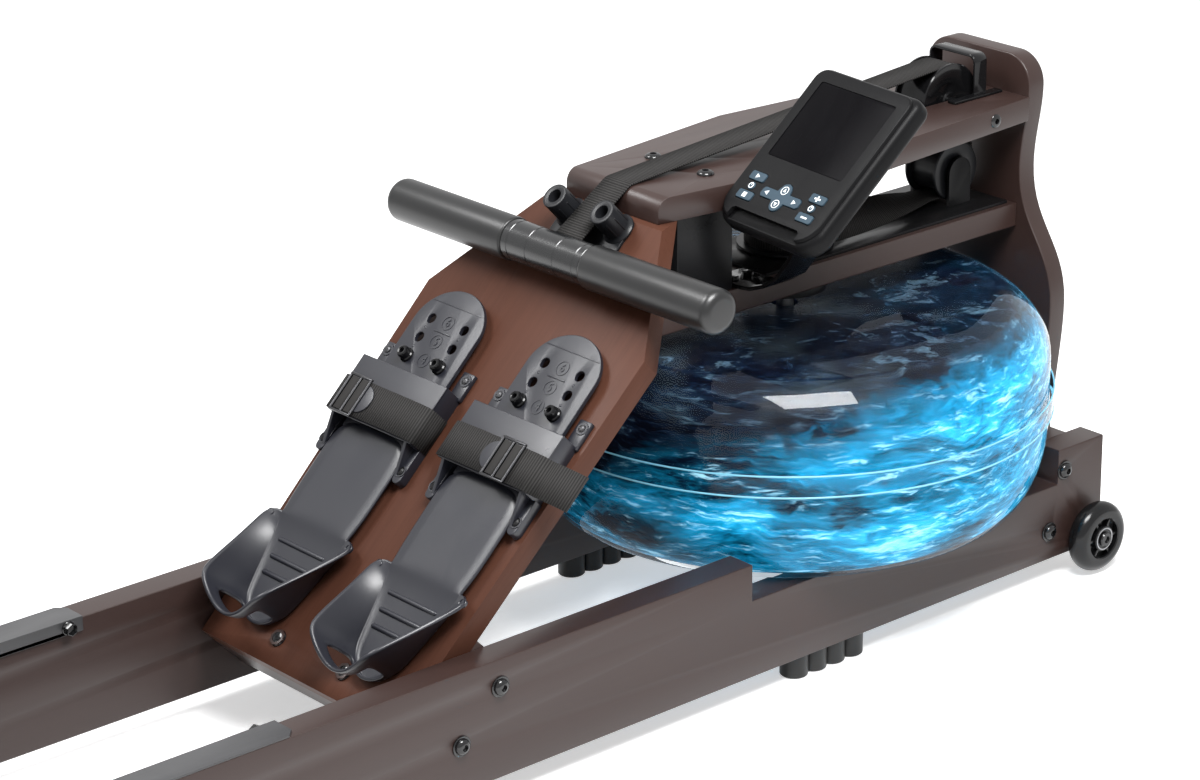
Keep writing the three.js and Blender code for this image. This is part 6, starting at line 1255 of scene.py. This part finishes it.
def ladder_buckle(y, tongue):
    """A wire buckle, the webbing rolled over its bars, and its round tongue."""
    lift = 32.8

    def bar(half, radius, taper, bevel, sides):
        """A round bar with eased ends, symmetrical about its middle."""
        points = [(0, -half), (radius - taper, -half), (radius, bevel - half)]
        return spun(points + [(radius, half - bevel), (radius - taper, half), (0, half)], sides)

    along = rotation(90, "Y")
    parts = [moved(bar(20, 1.6, 0.3, 0.4, 14), FOOT_STRAP_S, y + across, lift, along) for across in (-15, 15)]
    parts += [
        moved(bar(16.4, 1.5, 0.3, 0.8, 14), FOOT_STRAP_S + end, y, lift, LYING) for end in (-20.5, 20.5)
    ]
    parts.append(moved(bar(20, 1.6, 0.3, 0.4, 14), FOOT_STRAP_S, y, lift - 0.6, along))
    for across in (-7.6, 7.6):
        roll = bar(18.4, 5, 0.4, 0.6, 24)
        bmesh.ops.scale(roll, vec=(0.62, 1.1, 1), verts=roll.verts)
        parts.append(tinted(moved(roll, FOOT_STRAP_S, y + across, lift - 1.6, along), 1))
    outline = [(x, tongue * across) for x, across in arc(0, 0, 15, 0, 180, 18)][::tongue]
    flap = flat_plate([outline], 31.0, 32.4, 0.5, 2)
    return gather(*parts, tinted(moved(flap, FOOT_STRAP_S, y + tongue * 15.5), 2))


for sign, side in SIDES:
    at = shifted(BOARD, 0, sign * FOOTREST_Y, 0)
    plate = f"{side}_foot_plate"
    bridge_finishes = [REST_PLASTIC, BUCKLE_STEEL, BLACK_STEEL]
    put(f"{side}_bridge", foot_bridge(), bridge_finishes, "frame", at, [f"{side}_foot_bridge"])
    put(f"{side}_slide_plate", foot_plate(), [REST_PLASTIC, GLOSS_BLACK], plate, at, [f"{side}_foot_plate"])
    put(f"{side}_heel_cup", heel_cup(), REST_PLASTIC, plate, at, thick=3.6, smooth=2)
    put(f"{side}_cup_ribs", cup_ribs(), REST_PLASTIC, plate, at)
    strap = [f"{side}_foot_strap"]
    put(f"{side}_strap_web", foot_strap(sign), FOOT_WEB, "frame", at, strap, thick=1.8, sharp=60)
    buckle = ladder_buckle(-22, 1) if sign < 0 else ladder_buckle(38, -1)
    finishes = [BUCKLE_STEEL, FOOT_WEB, REST_PLASTIC]
    put(f"{side}_buckle", buckle, finishes, "frame", at, [f"{side}_strap_buckle"])


# Transport wheels
def transport_wheel():
    """Its outer face is up: a round tyre, a sunken web with spokes, and a bearing with a bright race."""
    turns = [radians(-90 + 180 * i / 18) for i in range(19)]
    flank = [(27 + 11 * cos(t), 12 + 11.9 * sin(t)) for t in turns]
    inside = [
        (22.6, 23.7), (21.6, 22.6), (21.2, 16.5), (14.0, 16.5), (13.4, 22.8), (12.4, 23.2), (5.3, 23.2),
        (5.3, 0.4), (20, 0.4)
    ]
    tyre = spun(flank + inside, 72, True)
    race = [(10.7, 23.0), (12.1, 23.0), (12.1, 23.8), (11.7, 24.0), (11.0, 24.0), (10.7, 23.7)]
    spokes = [
        moved(cuboid((13, 21.6), (-1.5, 1.5), (16.0, 20.8), 0.7, 2), turn=rotation(60 * i)) for i in range(6)
    ]
    return gather(tyre, tinted(spun(race, 56, True), 1), *spokes)


for sign, side in SIDES:
    shape = moved(transport_wheel(), AXLE_PLACE[0], sign * 189, AXLE_PLACE[1], TOWARDS_SIDE[sign])
    wheel = f"{side}_wheel"
    put(f"{side}_transport_wheel", shape, [TYRE_BLACK, BRIGHT_STEEL], wheel, stands_for=[f"{side}_wheel"])


def axle_rod():
    """The rod, a collar at each rail, and at each end a black bolt head with a socket."""
    parts = [moved(spun([(0, -213.5), (5, -213.5), (5, 213.5), (0, 213.5)], 24), turn=LYING)]
    for sign in (-1, 1):
        cap = spun([(0, 213.1), (8, 213.1), (8, 214.6), (7, 216), (3.9, 216), (3.6, 214.0), (0, 214.0)], 32)
        collar = spun([(5.2, 185.3), (9, 185.3), (9, 188.7), (5.2, 188.7)], 32, True)
        parts += [tinted(moved(cap, turn=TOWARDS_SIDE[sign]), 1), moved(collar, turn=TOWARDS_SIDE[sign])]
    return moved(gather(*parts), AXLE_PLACE[0], 0, AXLE_PLACE[1])


put("wheel_rod", axle_rod(), [BRIGHT_STEEL, BOLT_BLACK], "frame", stands_for=["wheel_axle"])


# Console
def board_room(first, last):
    """The room that the top board needs between two tilts of the console, drawn in the console's frame."""
    shape = bmesh.new()
    for tilt in (first, last):
        turn = Matrix.Translation(CONSOLE_HINGE) @ rotation(tilt, "X")
        turn = turn @ Matrix.Translation(-CONSOLE_HINGE) @ CONSOLE.inverted() @ MACHINE
        for x, y in ((NOSE_X, -69.5), (TANK_X, -101.5), (TANK_X, 0), (NOSE_X, 0)):
            for z in (462, TOP_BOARD_TOP + 2.5):
                shape.verts.new(turn @ Vector((x, y, z)))
    hull = bmesh.ops.convex_hull(shape, input=shape.verts[:])
    spare = set(only(VERT, hull["geom_interior"] + hull["geom_unused"]))
    bmesh.ops.delete(shape, geom=list(spare), context="VERTS")
    return shape


def pad_outline(grow=0.0):
    """The direction pad: a long bar across, with a round end above and below."""
    wide, tall, bar = 28.5 + grow, 16 + grow, 5.6 + grow
    knob = 7.5 + grow
    y = -82.5
    points = [(wide - 2.5, y + bar), (wide, y + bar - 2.5), (wide, y - bar + 2.5), (wide - 2.5, y - bar)]
    right = arc(0, y - tall + knob, knob, -20, -160, 12)
    points += [(knob + 1.5, y - bar)] + right + [(-knob - 1.5, y - bar)]
    points += [(-wide + 2.5, y - bar), (-wide, y - bar + 2.5), (-wide, y + bar - 2.5), (-wide + 2.5, y + bar)]
    points += [(-knob - 1.5, y + bar)] + arc(0, y + tall - knob, knob, 160, 20, 12) + [(knob + 1.5, y + bar)]
    return points[::-1]


KEY_X, ROUND_KEY_Y = 45.8, -81.6
KEY_SPOTS = {
    "upper_left_key": (-KEY_X, -70.4),
    "lower_left_key": (-KEY_X, -92.8),
    "upper_right_key": (KEY_X, -70.4),
    "lower_right_key": (KEY_X, -92.8),
}
ROUND_SPOTS = {"left_round_key": -KEY_X, "right_round_key": KEY_X}


def case_outline(half, top, bottom):
    """Tight corners above and wide ones below."""
    upper, lower = 13, 24
    points = arc(half - upper, top - upper, upper, 0, 90, 8)
    points += arc(-half + upper, top - upper, upper, 90, 180, 8)
    points += arc(-half + lower, bottom + lower, lower, 180, 270, 10)
    return points + arc(half - lower, bottom + lower, lower, 270, 360, 10)


def phone_ledge():
    outline = [(47, -106.5), (-47, -106.5), (-51, -109), (-55, -140), (55, -140), (51, -109)]
    return flat_plate([outline], -5.5, 10, 0.02, 0)


def console_case():
    """A face with room for its screen and keys, and a back with room for the board that it tilts over."""
    back = flat_plate([case_outline(75.3, 63.9, -122.4)], -26, -4, 7.5, 5)
    face = flat_plate([case_outline(70.5, 59.6, -118.2)], -12, 0, 2.0, 4)
    wells = [rounded_box(11.5, 5.5, 2.6, x, y, 4) for x, y in KEY_SPOTS.values()]
    wells += [arc(x, ROUND_KEY_Y, 4.9, 0, 345, 23) for x in ROUND_SPOTS.values()] + [pad_outline(0.5)]
    cutters = [flat_plate([rounded_box(56.3, 45.3, 3)], -2.7, 8, 0.02, 0), phone_ledge()]
    cutters.append(cuboid((72.3, 90), (-3, 11), (-16, -10)))
    cutters += [flat_plate([well], -3.9, 8, 0.02, 0) for well in wells]
    whole = carved(gather(face), *cutters)
    rooms = [board_room(tilt, tilt + 5) for tilt in range(0, 30, 5)]
    return gather(whole, carved(back, phone_ledge(), cuboid((-60, 60), (-49, 49), (-6, 10)), *rooms))


put("console_case", console_case(), CONSOLE_PLASTIC, "console", CONSOLE, ["console_body"], edge=0.35)
glass = flat_plate([rounded_box(56, 45, 3)], -2.5, -0.5, 0.3, 2)
put("console_glass", glass, SCREEN_GLASS, "console", CONSOLE, ["console_screen"])


def key_cap(x, y, marks):
    cap = flat_plate([rounded_box(10.9, 4.9, 2.4, x, y, 5)], -2.7, 1.4, 0.8, 3)
    return gather(cap, *[tinted(mark, 1) for mark in marks])


def triangle(x, y, size, turn):
    points = [(size, 0), (-size * 0.6, size * 0.8), (-size * 0.6, -size * 0.8)]
    shape = flat_plate([points], 0, 0.25, 0.05, 1)
    return moved(shape, x, y, 1.3, rotation(turn))


def bar_mark(x, y, half_x, half_y):
    return cuboid((x - half_x, x + half_x), (y - half_y, y + half_y), (1.3, 1.56), 0.06, 1)


def key_marks(name, x, y):
    """An arrow, a block, a plus and a minus."""
    if name == "upper_left_key":
        return [triangle(x, y, 3.2, 0)]
    if name == "lower_left_key":
        return [bar_mark(x, y, 2.6, 2.6)]
    minus = [bar_mark(x, y, 4.2, 0.9)]
    return minus + [bar_mark(x, y, 0.9, 3.2)] if name == "upper_right_key" else minus


for name, (x, y) in KEY_SPOTS.items():
    cap = key_cap(x, y, key_marks(name, x, y))
    put(f"{name}_cap", cap, [KEY_RUBBER, WHITE_MARK], name, CONSOLE, [name])


def round_cap(x):
    cap = spun([(0, 1.2), (2.6, 1.4), (3.7, 1.2), (4.4, 0.5), (4.4, -2.7), (0, -2.7)], 32)
    ring = tinted(spun([(2.3, 1.3), (3.3, 1.3), (3.2, 1.55), (2.4, 1.55)], 32, True), 1)
    stroke = tinted(cuboid((-0.4, 0.4), (0, 3.4), (1.3, 1.56), 0.05, 1), 1)
    return moved(gather(cap, ring, stroke), x, ROUND_KEY_Y)


for name, x in ROUND_SPOTS.items():
    put(f"{name}_cap", round_cap(x), [KEY_RUBBER, WHITE_MARK], name, CONSOLE, [name])


def pad_cap():
    cap = flat_plate([pad_outline()], -2.7, 1.4, 0.8, 3)
    marks = []
    for y, turn in ((-74.5, 90), (-90.5, -90)):
        ring = moved(spun([(3.9, 1.3), (4.8, 1.3), (4.7, 1.55), (4.0, 1.55)], 32, True), 0, y)
        marks += [tinted(ring, 1), tinted(triangle(0, y, 2.6, turn), 1)]
    for x, turn in ((-20.5, 180), (20.5, 0)):
        marks.append(tinted(triangle(x, -82.5, 3.2, turn), 1))
    return gather(cap, *marks)


put("direction_pad_cap", pad_cap(), [KEY_RUBBER, WHITE_MARK], "direction_pad", CONSOLE, ["direction_pad"])
softened("console_arm_strip", "console_arm", GLOSS_BLACK, 0.8, slot="black_steel")


# Seat
softened("seat_carriage_plate", "seat_carriage", BLACK_STEEL, 1.0, body="seat")
SEAT_PLACE = -480
SEAT_FOOT, SEAT_SEAM, SEAT_TOP = 193.7, 221, 233


def cushion_cover():
    """The seat's cover before it is filled: a hollow for each side, and a low middle ridge."""
    shape = bmesh.new()
    bmesh.ops.create_grid(shape, x_segments=16, y_segments=20, size=1)
    for vert in shape.verts:
        x, y = vert.co.x, vert.co.y
        round_x = x * sqrt(max(0.0, 1 - y * y * 0.3))
        round_y = y * sqrt(max(0.0, 1 - x * x * 0.3))
        hollow = 9 * exp(-((abs(y) - 0.46) ** 2) / 0.06) * (1 - x * x)
        rim = 5 * max(0.0, (max(abs(x), abs(y)) - 0.72) / 0.28) ** 2
        vert.co = Vector((round_x * 111, round_y * 142, SEAT_TOP - hollow - rim))
    walls = bmesh.ops.extrude_face_region(shape, geom=shape.faces[:])["geom"]
    for vert in only(VERT, walls):
        vert.co = Vector((vert.co.x * 0.95, vert.co.y * 0.96, SEAT_FOOT))
    bmesh.ops.recalc_face_normals(shape, faces=shape.faces)
    shape.transform(shifted(MACHINE, SEAT_PLACE, 0, 0))
    return shape


def filled(cover, most=0.008):
    """The cover made even, blown up as cloth over its fixed foot, with each point's way kept short."""
    mesh = mesh_of("cover", cover)
    pad = into_scene("cover", mesh)
    even = pad.modifiers.new("even", "REMESH")
    even.mode = "VOXEL"
    even.voxel_size = 0.005
    fine = shown_mesh(pad)
    pad.modifiers.clear()
    pad.data = fine
    bpy.data.meshes.remove(mesh)
    resting = [vert.index for vert in fine.vertices if vert.co.z < (SEAT_FOOT + 2) * MM]
    pad.vertex_groups.new(name="foot").add(resting, 1.0, "REPLACE")
    before = [vert.co.copy() for vert in fine.vertices]
    cloth = pad.modifiers.new("filling", "CLOTH")
    cloth.settings.quality = 6
    cloth.settings.use_pressure = True
    cloth.settings.uniform_pressure_force = 4
    cloth.settings.vertex_group_mass = "foot"
    cloth.settings.effector_weights.gravity = 0
    cloth.point_cache.frame_start, cloth.point_cache.frame_end = 1, 20
    for moment in range(1, 21):
        scene.frame_set(moment)
    shape = shape_of(shown_mesh(pad))
    for vert, start in zip(shape.verts, before):
        way = vert.co - start
        if way.length > most:
            vert.co = start + way * (most / way.length)
    bpy.data.objects.remove(pad)
    bpy.data.meshes.remove(fine)
    scene.frame_set(1)
    every_way = {"use_axis_x": True, "use_axis_y": True, "use_axis_z": True}
    bmesh.ops.smooth_vert(shape, verts=shape.verts, factor=0.5, **every_way)
    return shape


def sewn(shape):
    """One subdivision, then the seam that runs round the side, and limits that keep it over its carriage."""
    bmesh.ops.subdivide_edges(shape, edges=shape.edges[:], cuts=1, use_grid_fill=True, smooth=0.4)
    bmesh.ops.recalc_face_normals(shape, faces=shape.faces)
    shape.normal_update()
    for vert in shape.verts:
        height = vert.co.z / MM
        level = max(0.0, 1 - abs(vert.normal.z) * 1.4)
        depth = 1.7 * exp(-(((height - SEAT_SEAM) / 1.6) ** 2)) * level
        vert.co -= vert.normal * depth * MM
        vert.co.z = max(vert.co.z, SEAT_FOOT * MM)
    return shape


cushion = sewn(filled(cushion_cover()))
seat_pad = put("seat_pad", cushion, SEAT_SKIN, "seat", Matrix(), ["seat_cushion"], sharp=180)


def roller_set():
    """A pair of grooved rollers on one axle."""
    half = [(0, 161), (8, 161), (9, 162.5), (14, 162.5), (15, 161), (18, 161), (20, 163.5)]
    roller = half + [(radius, 340 - height) for radius, height in half[::-1]]
    parts = [moved(spun([(0, -170), (5, -170), (5, 170), (0, 170)], 20), turn=LYING)]
    return gather(*parts, *[moved(spun(roller, 40), turn=TOWARDS_SIDE[sign]) for sign, _ in SIDES])


for name, x in (("front", -400), ("rear", -560)):
    at = shifted(MACHINE, x, 0, 166)
    put(f"{name}_roller_set", roller_set(), BLACK_PLASTIC, f"{name}_rollers", at, [f"{name}_seat_rollers"])


# Studio
def soft_lamp(name, place, target, wide, tall, power):
    data = bpy.data.lights.new(name, "AREA")
    data.shape = "RECTANGLE"
    data.size, data.size_y, data.energy = wide, tall, power
    lamp = into_scene(name, data)
    lamp.location = place
    lamp.rotation_euler = (Vector(target) - Vector(place)).to_track_quat("-Z", "Y").to_euler()


def reaches_eye(tree):
    """One for a ray seen straight, by a mirror or through the clear tank, and else nought."""
    rays = add(tree, "LightPath")
    by_way = maths(tree, "MAXIMUM", rays["Is Glossy Ray"], rays["Is Transmission Ray"])
    return maths(tree, "MAXIMUM", rays["Is Camera Ray"], by_way)


def studio():
    """A pale floor that keeps the shadow, a white surrounding and two soft lamps."""
    ground = bmesh.new()
    bmesh.ops.create_grid(ground, x_segments=1, y_segments=1, size=14)
    floor = into_scene("floor", mesh_of("floor", ground))
    material, tree = blank("floor_paint")
    tone = noise(tree, object_place(tree), 1.5, 3, 0.5)
    colour = blend_colours(tree, tone, (0.88, 0.88, 0.88, 1), (0.92, 0.92, 0.92, 1))
    looks = {
        "Base Color": colour, "Roughness": 0.75, "Specular IOR Level": 0.15, "Emission Color": (1, 1, 1, 1)
    }
    looks["Emission Strength"] = maths(tree, "MULTIPLY", reaches_eye(tree), 0.52)
    floor.data.materials.append(dressed(material, looks))
    floor.location = (0, 0, -0.0005)

    world = bpy.data.worlds.new("studio")
    world.use_nodes = True
    scene.world = world
    tree = world.node_tree
    strength = spread(tree, reaches_eye(tree), 0.36, 1.0)
    feed(tree, tree.nodes["Background"], {"Color": (1, 1, 1, 1), "Strength": strength})

    soft_lamp("key_lamp", (-0.9, 1.5, 3.0), (0.5, 0, 0.3), 1.4, 1.0, 85)
    soft_lamp("window_lamp", (0.19, -1.12, 2.24), (0.59, -0.2, 0.3), 1.1, 0.9, 96)
    scene.view_settings.view_transform = "Standard"


studio()
